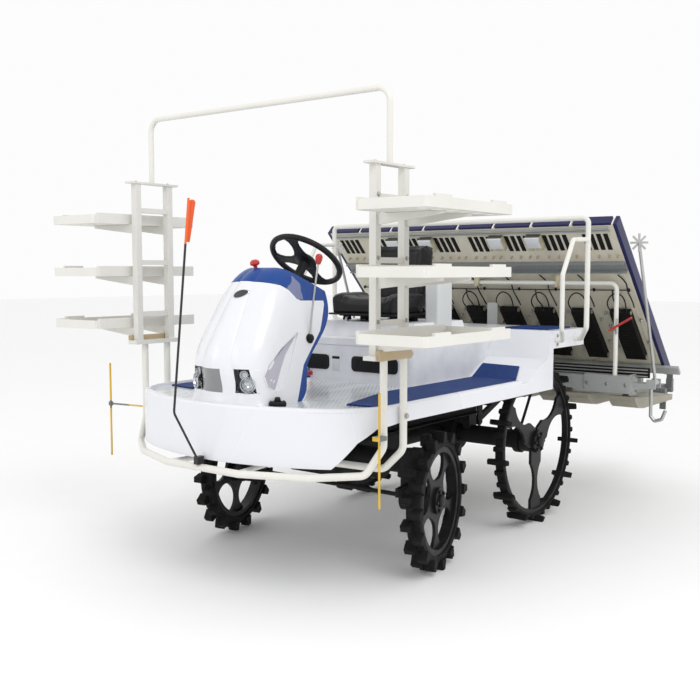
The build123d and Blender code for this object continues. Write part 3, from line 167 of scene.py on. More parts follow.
class Tree:
    """Short calls for building one material's nodes."""

    def __init__(self, name):
        self.material = bpy.data.materials.new(name)
        self.material.use_nodes = True
        self.nodes = self.material.node_tree.nodes
        self.links = self.material.node_tree.links
        self.shader = self.nodes["Principled BSDF"]
        self.place = self.nodes.new("ShaderNodeTexCoord").outputs["Object"]
        self.axes = None

    def join(self, source, target):
        if hasattr(source, "is_linked"):
            self.links.new(source, target)
        else:
            target.default_value = source

    def set(self, name, value):
        """Joins or sets one input of the surface."""
        self.join(value, self.shader.inputs[name])

    def node(self, kind, **inputs):
        """A node with its inputs joined or set; an underscore stands for a space in a name."""
        node = self.nodes.new("ShaderNode" + kind)
        for name, value in inputs.items():
            self.join(value, node.inputs[name.replace("_", " ")])
        return node

    def maths(self, kind, *values):
        node = self.nodes.new("ShaderNodeMath")
        node.operation = kind
        for k, value in enumerate(values):
            self.join(value, node.inputs[k])
        return node.outputs[0]

    def both(self, first, second):
        return self.maths("MULTIPLY", first, second)

    def noise(self, scale, detail=3.0, stretch=(1, 1, 1)):
        place = self.node("Mapping", Vector=self.place, Scale=stretch).outputs["Vector"]
        return self.node("TexNoise", Vector=place, Scale=scale, Detail=detail).outputs["Fac"]

    def cells(self, scale):
        return self.node("TexVoronoi", Vector=self.place, Scale=scale).outputs["Distance"]

    def wave(self, index, pitch):
        """A sine of this pitch in metres along one axis."""
        return self.maths("SINE", self.maths("MULTIPLY", self.axis(index), 2 * pi / pitch))

    def ramp(self, value, low, high, to_low=0.0, to_high=1.0):
        return self.node("MapRange", Value=value, From_Min=low, From_Max=high, To_Min=to_low,
                         To_Max=to_high).outputs["Result"]

    def mix(self, share, first, second):
        node = self.nodes.new("ShaderNodeMix")
        node.data_type = "RGBA"
        self.join(share, node.inputs["Factor"])
        for value, target in ((first, node.inputs["A"]), (second, node.inputs["B"])):
            self.join((*value, 1) if isinstance(value, tuple) else value, target)
        return node.outputs["Result"]

    def patches(self, first, second, scale, low=0.35, high=0.7, detail=3.0, stretch=(1, 1, 1)):
        """Two colours in soft patches."""
        return self.mix(self.ramp(self.noise(scale, detail, stretch), low, high), first, second)

    def axis(self, index):
        if self.axes is None:
            self.axes = self.node("SeparateXYZ", Vector=self.place).outputs
        return self.axes[index]

    def between(self, value, low, high):
        """1 between two numbers, 0 outside them."""
        return self.both(self.maths("GREATER_THAN", value, low), self.maths("LESS_THAN", value, high))

    def inside(self, low, high):
        """1 inside a box given by two corners of the part's source, 0 outside."""
        low, high = at(*low), at(*high)
        x, y, z = (self.between(self.axis(k), low[k], high[k]) for k in range(3))
        return self.both(self.both(x, y), z)

    def on_slope(self):
        """How far down the tray's slope and how far out of its floor, in metres."""
        top = at(TRAY_TOP[0], 0, TRAY_TOP[1])
        back = self.maths("SUBTRACT", top.x, self.axis(0))
        down = self.maths("SUBTRACT", top.z, self.axis(2))
        cosine, sine = cos(TRAY_SLOPE), sin(TRAY_SLOPE)
        along = self.maths("ADD", self.both(back, cosine), self.both(down, sine))
        out = self.maths("SUBTRACT", self.both(back, sine), self.both(down, cosine))
        return along, out

    def bump(self, height, strength, distance):
        node = self.node("Bump", Height=height, Strength=strength, Distance=distance)
        self.set("Normal", node.outputs["Normal"])


# the span of the noise over which colour and roughness change, wide enough to leave no flat patch
CLOUDS = (0.1, 0.9)
COAT_ROUGH = 0.08


def finish(name, base=None, shade=None, rough=0.4, metal=0.0, coat=0.0, patch=5.0, grain=420.0, bump=0.12,
           depth=0.0002, spread=0.08, stretch=(1, 1, 1), tree=None, colour=None, gloss=0.5, detail=4.0):
    """A surface with patchy colour, uneven roughness and a fine grain; a tree comes with its own colour."""
    tree = tree or Tree(name)
    clouds = tree.noise(patch, detail)
    if colour is None:
        colour = tree.mix(tree.ramp(clouds, *CLOUDS), base, shade)
    tree.set("Base Color", colour)
    tree.set("Roughness", tree.ramp(clouds, *CLOUDS, max(rough - spread, 0.02), rough + spread))
    tree.set("Metallic", metal)
    tree.set("Specular IOR Level", gloss)
    tree.set("Coat Weight", coat)
    tree.set("Coat Roughness", COAT_ROUGH)
    tree.bump(tree.noise(grain, 2.0, stretch), bump, depth)
    return tree.material


WHITE = (0.79, 0.80, 0.835)
WHITE_SHADE = (0.76, 0.775, 0.815)
# the deck's non-slip floor: two corners of its box, and the pitch of its studs along and across
FLOOR_BOX = ((-250, -655, 811), (735, 655, 812.6))
STUD_PITCH = (0.034, 0.022)
MAT_RIB_PITCH = 0.014
LANE_RIB_PITCH = 0.0249
# how far down the slope the alloy channel and the painted shadow under the tray's top edge reach, in metres
CHANNEL_SPAN = (0.268, 0.350)
TOP_SHADOW_SPAN = (-0.05, 0.052)


def deck_white():
    """The deck's white with the grey non-slip floor between the mats and round the cowl, darker between its
    studs: painted shade, with streaky tone.
    """
    tree = Tree("deck_white")
    white = tree.patches(WHITE, WHITE_SHADE, 1.5, *CLOUDS, 0.0)
    floor = tree.inside(*FLOOR_BOX)
    studs = tree.both(tree.wave(0, STUD_PITCH[0]), tree.wave(1, STUD_PITCH[1]))
    studs = tree.both(tree.ramp(studs, 0.1, 0.45), floor)
    # painted shade: the floor between the studs is a darker patchy grey than the stud tops
    low = tree.patches((0.46, 0.49, 0.50), (0.66, 0.69, 0.71), 9.0, 0.38, 0.62, 4.0, (0.25, 1.6, 1))
    colour = tree.mix(floor, white, tree.mix(studs, low, (0.74, 0.765, 0.79)))
    material = finish("deck_white", rough=0.27, coat=0.25, spread=0.03, tree=tree, colour=colour, patch=1.5,
                      detail=0.0)
    tree.bump(studs, 0.5, 0.0012)
    return material


def mat_blue():
    """A rubber mat with fine ribs along the machine, the troughs between them darkened with painted shade."""
    tree = Tree("mat_blue")
    rib = tree.wave(1, MAT_RIB_PITCH)
    colour = tree.patches((0.012, 0.044, 0.190), (0.018, 0.056, 0.225), 6.0)
    # painted shade: the troughs between the ribs are darker
    colour = tree.mix(tree.ramp(rib, -1.0, -0.2), (0.006, 0.022, 0.10), colour)
    material = finish("mat_blue", rough=0.62, tree=tree, colour=colour, gloss=0.2)
    tree.bump(rib, 0.8, 0.002)
    return material


def dash_blue():
    """The blue plastic of the dash."""
    tree = Tree("dash_blue")
    colour = tree.patches((0.008, 0.055, 0.255), (0.011, 0.064, 0.285), 8.0)
    return finish("dash_blue", rough=0.34, tree=tree, colour=colour, bump=0.08, gloss=0.3)


def tray_ivory():
    """The tray: ivory moulding with ribs on the lanes' floor, its underside darker with painted shade and
    stains, an alloy channel and a band of painted shadow under its top edge.
    """
    tree = Tree("tray_ivory")
    colour = tree.patches((0.70, 0.67, 0.56), (0.60, 0.56, 0.45), 5.0, 0.3, 0.75, 5.0)
    along, out = tree.on_slope()
    below = tree.maths("LESS_THAN", out, -0.002)
    # the underside is darker: painted shade, with stains in patches
    underside_shade_and_stains = tree.patches((0.58, 0.53, 0.37), (0.30, 0.26, 0.15), 14.0, 0.4, 0.68, 6.0, (1, 3, 1))
    colour = tree.mix(below, colour, underside_shade_and_stains)
    # the alloy channel is the tray's own grey; the dark band under the top edge is a painted shadow
    for span, shade in ((CHANNEL_SPAN, (0.235, 0.25, 0.25)), (TOP_SHADOW_SPAN, (0.10, 0.095, 0.075))):
        colour = tree.mix(tree.both(below, tree.between(along, *span)), colour, shade)
    material = finish("tray_ivory", rough=0.42, tree=tree, colour=colour)
    tree.bump(tree.ramp(tree.wave(1, LANE_RIB_PITCH), 0.2, 0.8), 0.5, 0.002)
    return material


def rubber(name, dust):
    """Black rubber, a little dusty."""
    tree = Tree(name)
    speckle = tree.ramp(tree.noise(38.0, 6.0), 0.45, 0.8, 0.0, dust)
    colour = tree.mix(speckle, (0.006, 0.006, 0.006), (0.030, 0.028, 0.025))
    return finish(name, rough=0.72, tree=tree, colour=colour, grain=160, bump=0.35, depth=0.0008, gloss=0.22)


def leather():
    """Black vinyl with a pebbled grain."""
    tree = Tree("seat_vinyl")
    colour = tree.patches((0.005, 0.005, 0.006), (0.011, 0.011, 0.012), 9.0)
    material = finish("seat_vinyl", rough=0.40, tree=tree, colour=colour, gloss=0.25)
    tree.set("Sheen Weight", 0.04)
    tree.bump(tree.cells(420), 0.35, 0.0006)
    return material


def two_tone(name, low, high, outside, within):
    """One colour inside a box of the part and another outside it."""
    tree = Tree(name)
    plain = tree.patches(outside, tuple(c * 0.85 for c in outside), 7.0)
    return finish(name, rough=0.35, tree=tree, colour=tree.mix(tree.inside(low, high), plain, within))


def glass(name, tint):
    """Thin clear plastic, faintly tinted."""
    tree = Tree(name)
    clouds = tree.noise(20.0)
    tree.set("Base Color", tree.mix(tree.ramp(clouds, 0.3, 0.7), tint, tuple(c * 0.94 for c in tint)))
    tree.set("Roughness", tree.ramp(clouds, 0.3, 0.7, 0.02, 0.06))
    tree.set("Transmission Weight", 1.0)
    tree.set("IOR", 1.12)
    return tree.material


def make_materials():
    """Every material by its short name."""
    return {
        "white": finish("body_white", WHITE, WHITE_SHADE, rough=0.24, coat=0.3, bump=0.03, patch=1.2,
                        spread=0.03, detail=0.0),
        "deck": deck_white(),
        "mat": mat_blue(),
        "blue": dash_blue(),
        "navy": finish("navy", (0.012, 0.014, 0.072), (0.018, 0.019, 0.085), rough=0.38, gloss=0.3),
        "facet": finish("dash_facet", (0.16, 0.18, 0.33), (0.20, 0.22, 0.37), rough=0.25, bump=0.04),
        "tube": finish("tube_white", (0.78, 0.77, 0.72), (0.72, 0.71, 0.66), rough=0.3, coat=0.2, bump=0.05),
        "shelf": finish("shelf_white", (0.78, 0.77, 0.73), (0.70, 0.69, 0.64), rough=0.45, bump=0.2,
                         grain=260),
        "rack": finish("rack_white", (0.74, 0.73, 0.69), (0.66, 0.65, 0.61), rough=0.35),
        "ivory": tray_ivory(),
        "tyre": rubber("tyre", 0.25),
        "belt": rubber("belt", 0.12),
        "vinyl": leather(),
        "black": finish("black_plastic", (0.006, 0.006, 0.007), (0.012, 0.012, 0.013), rough=0.42, bump=0.2,
                        gloss=0.25),
        "under": finish("underbody", (0.006, 0.006, 0.007), (0.014, 0.013, 0.012), rough=0.6, bump=0.3,
                         patch=9, gloss=0.22),
        "cast": finish("cast_case", (0.16, 0.165, 0.17), (0.10, 0.10, 0.105), rough=0.5, bump=0.5, grain=180,
                       depth=0.0006),
        "beam": finish("beam_grey", (0.42, 0.44, 0.43), (0.34, 0.36, 0.35), rough=0.45, metal=0.2, bump=0.15),
        "steel": finish("steel", (0.55, 0.55, 0.54), (0.42, 0.42, 0.41), rough=0.32, metal=0.95, grain=900,
                        stretch=(1, 1, 0.05)),
        "zinc": finish("zinc_bolt", (0.52, 0.51, 0.47), (0.36, 0.35, 0.31), rough=0.35, metal=0.9),
        "chrome": finish("chrome", (0.72, 0.73, 0.74), (0.62, 0.63, 0.64), rough=0.08, metal=1.0, bump=0.02,
                         spread=0.03),
        "lamp_back": finish("lamp_back", (0.05, 0.05, 0.055), (0.09, 0.09, 0.095), rough=0.25, metal=0.5),
        "lamp_grey": finish("lamp_grey", (0.20, 0.205, 0.21), (0.26, 0.265, 0.27), rough=0.22, coat=0.4,
                            bump=0.02),
        "lens": glass("lens", (0.93, 0.95, 0.97)),
        "bulb": glass("bulb_clear", (0.90, 0.92, 0.94)),
        # painted shade in the flank recesses; also the grey of the seat box's seam
        "recess": finish("recess_shade_and_seam_grey", (0.44, 0.43, 0.50), (0.49, 0.48, 0.55), rough=0.4, bump=0.1),
        "tan": finish("clamp_tan", (0.50, 0.39, 0.24), (0.42, 0.32, 0.19), rough=0.5, bump=0.3, grain=200),
        "panel_white": finish("panel_white", (0.70, 0.72, 0.74), (0.64, 0.66, 0.68), rough=0.4, bump=0.05),
        "red": finish("red_knob", (0.52, 0.018, 0.012), (0.42, 0.014, 0.010), rough=0.3, coat=0.3, bump=0.05),
        "yellow": two_tone("rod_yellow", (560, -1000, 690), (610, 1000, 730), (0.72, 0.46, 0.03),
                           (0.16, 0.16, 0.16)),
        "orange": finish("pole_orange", (0.80, 0.11, 0.02), (0.70, 0.09, 0.015), rough=0.35),
        "pole": two_tone("pole", (880, -20, 1500), (960, 4, 1700), (0.012, 0.012, 0.012), (0.80, 0.13, 0.02)),
        "float": finish("float_beige", (0.36, 0.34, 0.27), (0.26, 0.24, 0.19), rough=0.5, bump=0.3,
                         grain=120),
        "box_grey": two_tone("seat_box_white", (-641, 243, 1086), (-499, 331, 1351), WHITE,
                              (0.60, 0.62, 0.62)),
    }


# How the CAD nodes are finished: material, width of the worn edges in millimetres, and the nodes
NODES = (
    ("under", 3.0, "transmission_case engine_block"),
    ("under", 2.5, "front_axle_case rear_axle_case knuckle_left knuckle_right"),
    ("under", 2.0, "chassis_frame"),
    ("under", 1.5, "lower_links upper_link"),
    ("under", 1.0, "seat_pan tie_rod cylinder_barrel"),
    ("deck", 4.0, "step_deck"),
    ("mat", 1.5, "deck_mats"),
    ("white", 0, "bonnet"),
    ("blue", 0, "dash_panel bonnet_rear_cover"),
    ("black", 1.5, "steering_column front_rim_left front_rim_right rear_rim_left rear_rim_right"),
    ("box_grey", 2.5, "seat_box"),
    ("tube", 0.8, "front_guard_rail"),
    ("tube", 0, "overhead_bar rear_guard_rail tray_supports"),
    ("rack", 1.2, "rack_frame_left rack_frame_right"),
    ("shelf", 1.2, "shelves_left shelves_right"),
    ("yellow", 0.5, "side_marker_rods"),
    ("pole", 0.5, "centre_pole"),
    ("chrome", 0.5, "cylinder_rod"),
    ("beam", 2.0, "planting_frame"),
    ("steel", 0, "side_guard_rods"),
    ("steel", 0.3, "marker_arm_left marker_arm_right"),
    ("float", 3.0, "floats"),
    ("ivory", 1.0, "seedling_tray"),
    ("navy", 2.5, "tray_trim"),
    ("tyre", 4.0, "front_tyre_left front_tyre_right"),
    ("tyre", 3.0, "rear_tyre_left rear_tyre_right"),
    ("cast", 2.0, "planting_rotor_1 planting_rotor_2 planting_rotor_3 planting_rotor_4"),
)
SHARP = radians(30)
WELD = 0.00002


def dress_nodes():
    """A material for each CAD node, and a small round along its sharp edges."""
    for paint, edge, nodes in NODES:
        for piece in (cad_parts[node] for node in nodes.split()):
            piece.data.materials.clear()
            piece.data.materials.append(PAINTS[paint])
            if not edge:
                continue
            piece.modifiers.new("weld", "WELD").merge_threshold = WELD
            bevel = piece.modifiers.new("edges", "BEVEL")
            bevel.width = edge / 1000
            bevel.segments = 2
            bevel.limit_method = "ANGLE"
            bevel.angle_limit = SHARP
            bevel.use_clamp_overlap = True
            piece.modifiers.new("shading", "WEIGHTED_NORMAL").keep_sharp = True


# Mesh helpers


def as_mesh(shape):
    mesh = bpy.data.meshes.new("shape")
    shape.to_mesh(mesh)
    shape.free()
    return mesh


def node_shape(node):
    """A copy of a CAD node's mesh with its vertices welded, to cut."""
    shape = bmesh.new()
    shape.from_mesh(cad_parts[node].data)
    bmesh.ops.remove_doubles(shape, verts=shape.verts, dist=1e-5)
    return shape


def cut(shape, place, across, **how):
    """Cuts a shape by the plane through a place."""
    whole = shape.verts[:] + shape.edges[:] + shape.faces[:]
    return bmesh.ops.bisect_plane(shape, geom=whole, plane_co=place, plane_no=across, dist=1e-6, **how)


def skin(shape, rows, caps=True, endless=False):
    """The mesh of faces between rings of vertices; endless joins the last ring to the first."""
    for low, high in zip(rows, rows[1:] + (rows[:1] if endless else [])):
        for k in range(len(low)):
            n = (k + 1) % len(low)
            shape.faces.new((low[k], low[n], high[n], high[k]))
    for row in (rows[0], rows[-1]):
        if caps and (row[0].co - row[len(row) // 2].co).length > 1e-6:
            shape.faces.new(row)
    bmesh.ops.remove_doubles(shape, verts=shape.verts, dist=1e-6)
    bmesh.ops.recalc_face_normals(shape, faces=shape.faces)
    return as_mesh(shape)


def rounded_block(size, round_by, segments=2):
    """A block about its middle, in millimetres, with round edges."""
    shape = bmesh.new()
    bmesh.ops.create_cube(shape, size=1)
    bmesh.ops.scale(shape, vec=Vector(size) / 1000, verts=shape.verts)
    bmesh.ops.bevel(shape, geom=shape.edges[:], offset=round_by / 1000, segments=segments, affect="EDGES",
                    profile=0.5)
    return as_mesh(shape)


def rounded_plate(width, height, corner, thick, ease=1.5, steps=8):
    """A plate with round corners, its foot at Z = 0 and its front edge eased."""
    shape = bmesh.new()
    rows = []
    for inset, level in ((0, 0), (0, thick - ease), (ease, thick)):
        rows.append([])
        for quarter, (right, up) in enumerate(((1, 1), (-1, 1), (-1, -1), (1, -1))):
            for k in range(steps + 1):
                turn = pi / 2 * (quarter + k / steps)
                x = right * (width / 2 - corner) + (corner - inset) * cos(turn)
                y = up * (height / 2 - corner) + (corner - inset) * sin(turn)
                rows[-1].append(shape.verts.new((x / 1000, y / 1000, level / 1000)))
    return skin(shape, rows)


def lathe(profile, steps=32):
    """A round form about Z from radius and height pairs in millimetres."""
    shape = bmesh.new()
    turns = [2 * pi * k / steps for k in range(steps)]
    return skin(shape, [[shape.verts.new((radius / 1000 * cos(turn), radius / 1000 * sin(turn),
                                          height / 1000)) for turn in turns] for radius, height in profile])


def facing(place, direction):
    """The matrix that puts a form's foot at a place with its Z along a direction."""
    return Matrix.Translation(place) @ Vector(direction).to_track_quat("Z", "Y").to_matrix().to_4x4()


def joined(items):
    """One mesh of many copies: each item is a mesh and its matrix."""
    whole = bmesh.new()
    for mesh, matrix in items:
        copy = mesh.copy()
        copy.transform(matrix)
        whole.from_mesh(copy)
        bpy.data.meshes.remove(copy)
    return as_mesh(whole)


def ride(piece, body="chassis"):
    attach(piece, body)
    return piece


def put(name, form, paint, slot, body="chassis"):
    """A mesh, or a list of meshes with their matrices, as an object that rides on a body of the part."""
    mesh = joined(form) if isinstance(form, list) else form
    mesh.shade_smooth()
    mesh.set_sharp_from_angle(angle=SHARP)
    mesh.materials.append(PAINTS[paint])
    return ride(linked(name, mesh), body)


def tubes(name, runs, radius, paint, body="chassis"):
    """Round bars or cables along smooth lines; radius in millimetres."""
    data = bpy.data.curves.new(name, "CURVE")
    data.dimensions = "3D"
    data.bevel_depth = radius / 1000
    data.bevel_resolution = 3
    data.resolution_u = 8
    data.use_fill_caps = True
    for points in runs:
        spline = data.splines.new("NURBS")
        spline.points.add(len(points) - 1)
        for point, place in zip(spline.points, points):
            point.co = (*place, 1)
        spline.order_u = 3
        spline.use_endpoint_u = True
    data.materials.append(PAINTS[paint])
    return ride(linked(name, data), body)


def hex_bolt(width, height):
    """A bolt head with a washer under it, its foot at Z = 0."""
    radius = width / 2 / cos(radians(30))
    head = lathe([(0, 1.5), (radius, 1.5), (radius, height - 1), (radius * 0.86, height), (0, height)], 6)
    washer = lathe([(0, 0), (width * 0.78, 0), (width * 0.78, 1.2), (width * 0.7, 1.6), (0, 1.6)], 20)
    return joined([(head, Matrix()), (washer, Matrix())])


# Steering wheel

GRIP_D = 28
GRIP_STEPS = (96, 16)
FINGER_WAVES = 20
FINGER_DEPTH = 0.05
# share of the radius, half width and half thickness of a spoke
SPOKE_SECTIONS = ((0.20, 48, 6), (0.40, 30, 6), (0.62, 24, 5.5), (0.80, 30, 6), (0.93, 47, 8))
SPOKE_TURNS = (0, 180, 90)
SPOKE_DROP = 10
# the hub pad, its cap and the boss under it: radius and height pairs, and steps round
WHEEL_MIDDLE = (
    (((0, -20), (38, -20), (52, -14), (56, -4), (50, 5), (34, 10), (0, 12)), 40),
    (((0, 9), (20, 10), (22, 12), (18, 13.5), (0, 14)), 32),
    (((0, -56), (19, -56), (24, -40), (26, -18), (0, -18)), 24),
)


def wheel_frame():
    """The wheel's axes: X to the left, Z up the column."""
    lean = radians(COLUMN_LEAN)
    up = Vector((-sin(lean), 0, cos(lean)))
    left = Vector((0, 1, 0))
    return spot(*WHEEL_HUB) @ Matrix((left, up.cross(left), up)).transposed().to_4x4()


def grip_mesh():
    """The ring, waved for the fingers on its inner side."""
    shape = bmesh.new()
    major, minor = (WHEEL_R - GRIP_D / 2) / 1000, GRIP_D / 2000
    rows = []
    for k in range(GRIP_STEPS[0]):
        turn = 2 * pi * k / GRIP_STEPS[0]
        rows.append([])
        for j in range(GRIP_STEPS[1]):
            angle = 2 * pi * j / GRIP_STEPS[1]
            finger = 1 + (FINGER_DEPTH * cos(FINGER_WAVES * turn) if cos(angle) < 0 else 0)
            r = major + minor * cos(angle) * finger
            rows[-1].append(shape.verts.new((r * cos(turn), r * sin(turn), minor * sin(angle))))
    return skin(shape, rows, caps=False, endless=True)


def spoke_mesh():
    """One spoke along X, broad at the hub and at the grip."""
    shape = bmesh.new()
    rows = []
    for share, half, thick in SPOKE_SECTIONS:
        x = share * (WHEEL_R - GRIP_D / 2)
        drop = -SPOKE_DROP * (1 - share)
        flat = half * 0.8
        ring = ((half, 0), (flat, thick), (-flat, thick), (-half, 0), (-flat, -thick), (flat, -thick))
        rows.append([shape.verts.new(Vector((x, y, z + drop)) / 1000) for y, z in ring])
    return skin(shape, rows)


def make_steering_wheel():
    """Grip, three broad spokes and a domed hub pad, turned as the parked wheels turn it."""
    items = [(grip_mesh(), Matrix())]
    items += [(lathe(profile, steps), Matrix()) for profile, steps in WHEEL_MIDDLE]
    spoke = spoke_mesh()
    items += [(spoke, turned(turn + WHEEL_REST_TURN, "Z")) for turn in SPOKE_TURNS]
    mesh = joined(items)
    mesh.transform(wheel_frame())
    wheel = put("steering_wheel_moulded", mesh, "black", "black_plastic", "steering_wheel")
    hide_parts("steering_wheel")


# Levers and pedal

SHIFT_LINE = ((386, 207, 1086), (387, 211, 1120), (378, 212, 1200), (355, 212, 1320), (330, 212, 1432))
# radius and height pairs, steps round, place of the foot and direction
RED_KNOBS = (
    (((0, 0), (9, 0), (12, 6), (16, 22), (17, 34), (13, 44), (6, 48), (0, 49)), 24,
     (333, 212, 1418), (-0.22, 0, 1)),
    (((0, -12), (9, -12), (9, 6), (12, 9), (20, 12), (23, 20), (20, 29), (12, 35), (0, 37)), 28,
     (493, -24, 1404), (0.25, 0, 1)),
)
PEDAL_AT = (664, 258, 823)
PEDAL_TURN = 136
PEDAL_RIB_PITCH = 14
# the pedal's base, its toe and one rib: size, round edge and steps of the round
PEDAL_FORMS = (((74, 38, 22), 7, 3), ((26, 30, 22), 8, 3), ((5, 34, 4), 1.5, 2))


def make_levers():
    """The shift lever with its red handle, the red knob on the dash and the ribbed pedal."""
    shift_lever = tubes("shift_lever", [[at(*place) for place in SHIFT_LINE]], 4.5, "steel")
    knobs = [(lathe(profile, steps), facing(at(*place), aim)) for profile, steps, place, aim in RED_KNOBS]
    red = put("lever_knobs", knobs, "red", "black_plastic")
    here = spot(*PEDAL_AT) @ turned(PEDAL_TURN, "Z")
    base, toe, rib = (rounded_block(*form) for form in PEDAL_FORMS)
    items = [(base, here), (toe, here @ shift(0, 0, 18))]
    items += [(rib, here @ shift(PEDAL_RIB_PITCH * k, 0, 11)) for k in range(-2, 3)]
    pedal = put("brake_pedal", items, "black", "black_plastic")
    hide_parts("control_levers")
    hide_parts("control_levers")
    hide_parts("control_levers")


# Seat

SEAT_LEAN = 9
CUSHION_CAP = 0.009
CLOTH_STEPS = 20
VOXEL = 0.0055
PRESSURE = 4.0
SEAM_DEPTH = 0.005
SEAM_REACH = 0.012
SEAM_FACING = 0.35
# the share of the half width, or of the half depth in front, where a cushion begins to rise or fall
BOLSTER_FROM = 0.55
# size, rise of the side bolsters and of the middle, in millimetres, and the sewn line in metres
CUSHION = ((306, 436, 84), 26, 6, ((0.150, -0.145), (-0.150, -0.145), (-0.150, 0.145), (0.150, 0.145),
                                   (0.150, -0.145), (0.02, -0.145), (0.02, 0.145)))
BACKREST = ((350, 368, 70), 20, 4, ((0.150, -0.120), (-0.130, -0.120), (-0.130, 0.120), (0.150, 0.120),
                                    (0.150, -0.120)))


def soft_block(low, high, bolster, crown):
    """A dense rounded block between two corners, its sides raised and its middle crowned, all in metres."""
    shape = bmesh.new()
    bmesh.ops.create_cube(shape, size=2)
    bmesh.ops.subdivide_edges(shape, edges=shape.edges[:], cuts=15, use_grid_fill=True)
    middle = (low + high) / 2
    half = (high - low) / 2
    for vert in shape.verts:
        x, y, z = vert.co
        side = max(0.0, (abs(y) - BOLSTER_FROM) / (1 - BOLSTER_FROM))
        front = max(0.0, (x - BOLSTER_FROM) / (1 - BOLSTER_FROM))
        squeeze = 1 - 0.10 * (abs(x) ** 6 + abs(y) ** 6) / 2
        round_z = z * (1 - 0.22 * max(abs(x), abs(y)) ** 8)
        rise = 0.0
        if z > 0:
            rise = z * (bolster * side ** 0.8 - bolster * 0.6 * (1 - abs(y) ** 2) + crown)
            rise -= z * bolster * 0.7 * front ** 2
        vert.co = (middle.x + x * half.x * (1 - 0.05 * abs(y) ** 4), middle.y + y * half.y * squeeze,
                   middle.z + round_z * half.z + rise)
    return as_mesh(shape)


def taken(piece):
    """The piece's mesh with its modifiers applied."""
    bpy.context.view_layer.update()
    graph = bpy.context.evaluated_depsgraph_get()
    return bpy.data.meshes.new_from_object(piece.evaluated_get(graph))


def puffed(mesh):
    """The mesh remeshed and blown up a little by Blender's cloth, no point moving past the cap."""
    piece = linked("puff", mesh)
    remesh = piece.modifiers.new("remesh", "REMESH")
    remesh.mode = "VOXEL"
    remesh.voxel_size = VOXEL
    start = taken(piece)
    piece.modifiers.clear()
    piece.data = start
    rest = [vert.co.copy() for vert in start.vertices]
    cloth = piece.modifiers.new("cloth", "CLOTH").settings
    cloth.use_pressure = True
    cloth.uniform_pressure_force = PRESSURE
    cloth.quality = 4
    cloth.effector_weights.gravity = 0
    scene = bpy.context.scene
    for step in range(1, CLOTH_STEPS + 1):
        scene.frame_set(step)
    result = taken(piece)
    for vert, first in zip(result.vertices, rest):
        move = vert.co - first
        if move.length > CUSHION_CAP:
            vert.co = first + move.normalized() * CUSHION_CAP
    scene.frame_set(1)
    bpy.data.objects.remove(piece)
    return result


def segment_distance(point, first, second):
    run = Vector((second[0] - first[0], second[1] - first[1]))
    to_point = Vector((point.x - first[0], point.y - first[1]))
    share = min(1.0, max(0.0, to_point.dot(run) / run.length_squared))
    return (to_point - run * share).length


def seam_line(mesh, outline):
    """Presses a sewn channel into the upper side along an outline in X and Y."""
    upward = Vector((0, 0, 1))
    for vert in mesh.vertices:
        if vert.normal.dot(upward) < SEAM_FACING:
            continue
        away = min(segment_distance(vert.co, a, b) for a, b in zip(outline, outline[1:]))
        if away < SEAM_REACH:
            vert.co -= upward * SEAM_DEPTH * (0.5 + 0.5 * cos(pi * away / SEAM_REACH))


def make_cushion(name, node, matrix, size, bolster, crown, channel):
    """A stuffed seat piece in the place of its CAD solid; matrix puts its own middle there."""
    half = Vector(size) / 2000
    mesh = soft_block(-half, half, bolster / 1000, crown / 1000)
    mesh = puffed(mesh)
    seam_line(mesh, channel)
    mesh.transform(matrix)
    piece = put(name, mesh, "vinyl", "seat_black", "seat")
    mesh.shade_smooth()
    smooth = piece.modifiers.new("smooth", "SUBSURF")
    smooth.levels = 1
    smooth.render_levels = 1
    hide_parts(node)


def make_seat():
    """Cushion and backrest with bolsters and sewn channels."""
    make_cushion("seat_cushion_padded", "seat_cushion", spot(-424, 0, 1208), *CUSHION)
    back_at = spot(-582.3, 0, 1184) @ turned(-SEAT_LEAN, "Y") @ shift(-43, 0, 183) @ turned(90, "Y")
    make_cushion("seat_back_padded", "seat_back", back_at, *BACKREST)


# Lamps, badge and plates on the cowl

# Y at which the band changes (between the last two, a white column of painted reflection), and the slanted
# outer end of a lamp: its Y, Z and slant
LAMP_SPLITS = (-96, 44, 99)
LAMP_END = (165, 969, 0.25)
LAMP_BACK_X = 660
LAMP_AT = (712, 142, 918)
LAMP_TURN = 0.55
LAMP_AIM = (0.90, 0.42, 0.02)
BOWL = ((4, 0), (14, 3), (24, 10), (30, 22), (32, 34), (34, 34), (34, 20), (27, 4), (14, -4), (0, -5))
SMALL_BOWL = ((2, 0), (9, 2), (14, 8), (17, 18), (19, 18), (17, 5), (9, -3), (0, -4))
BULB = ((0, 2), (6, 2), (7, 10), (5, 20), (0, 23))
FLUTES = 6
FLUTE_PITCH = 16
# the middle and the half sizes of the blank badge, across and up, and how far it slants
BADGE = (18, 1287, 31, 18)
BADGE_SLANT = 0.2
# outline of the cowl's flank recess, whose plate is painted shade, and of the dash's pale facet, X and Z
RECESS = ((468, 1119), (499, 1074), (551, 1022), (589, 960), (620, 908), (638, 877), (667, 876), (684, 894),
          (694, 930), (690, 956), (619, 1012), (547, 1072))
FACET = ((430, 1368), (492, 1311), (440, 1262), (399, 1259), (397, 1330))
# the slope of the dash from its front to its rear edge, X and Z
DASH_SLOPE = ((432, 1388), (137, 1251))


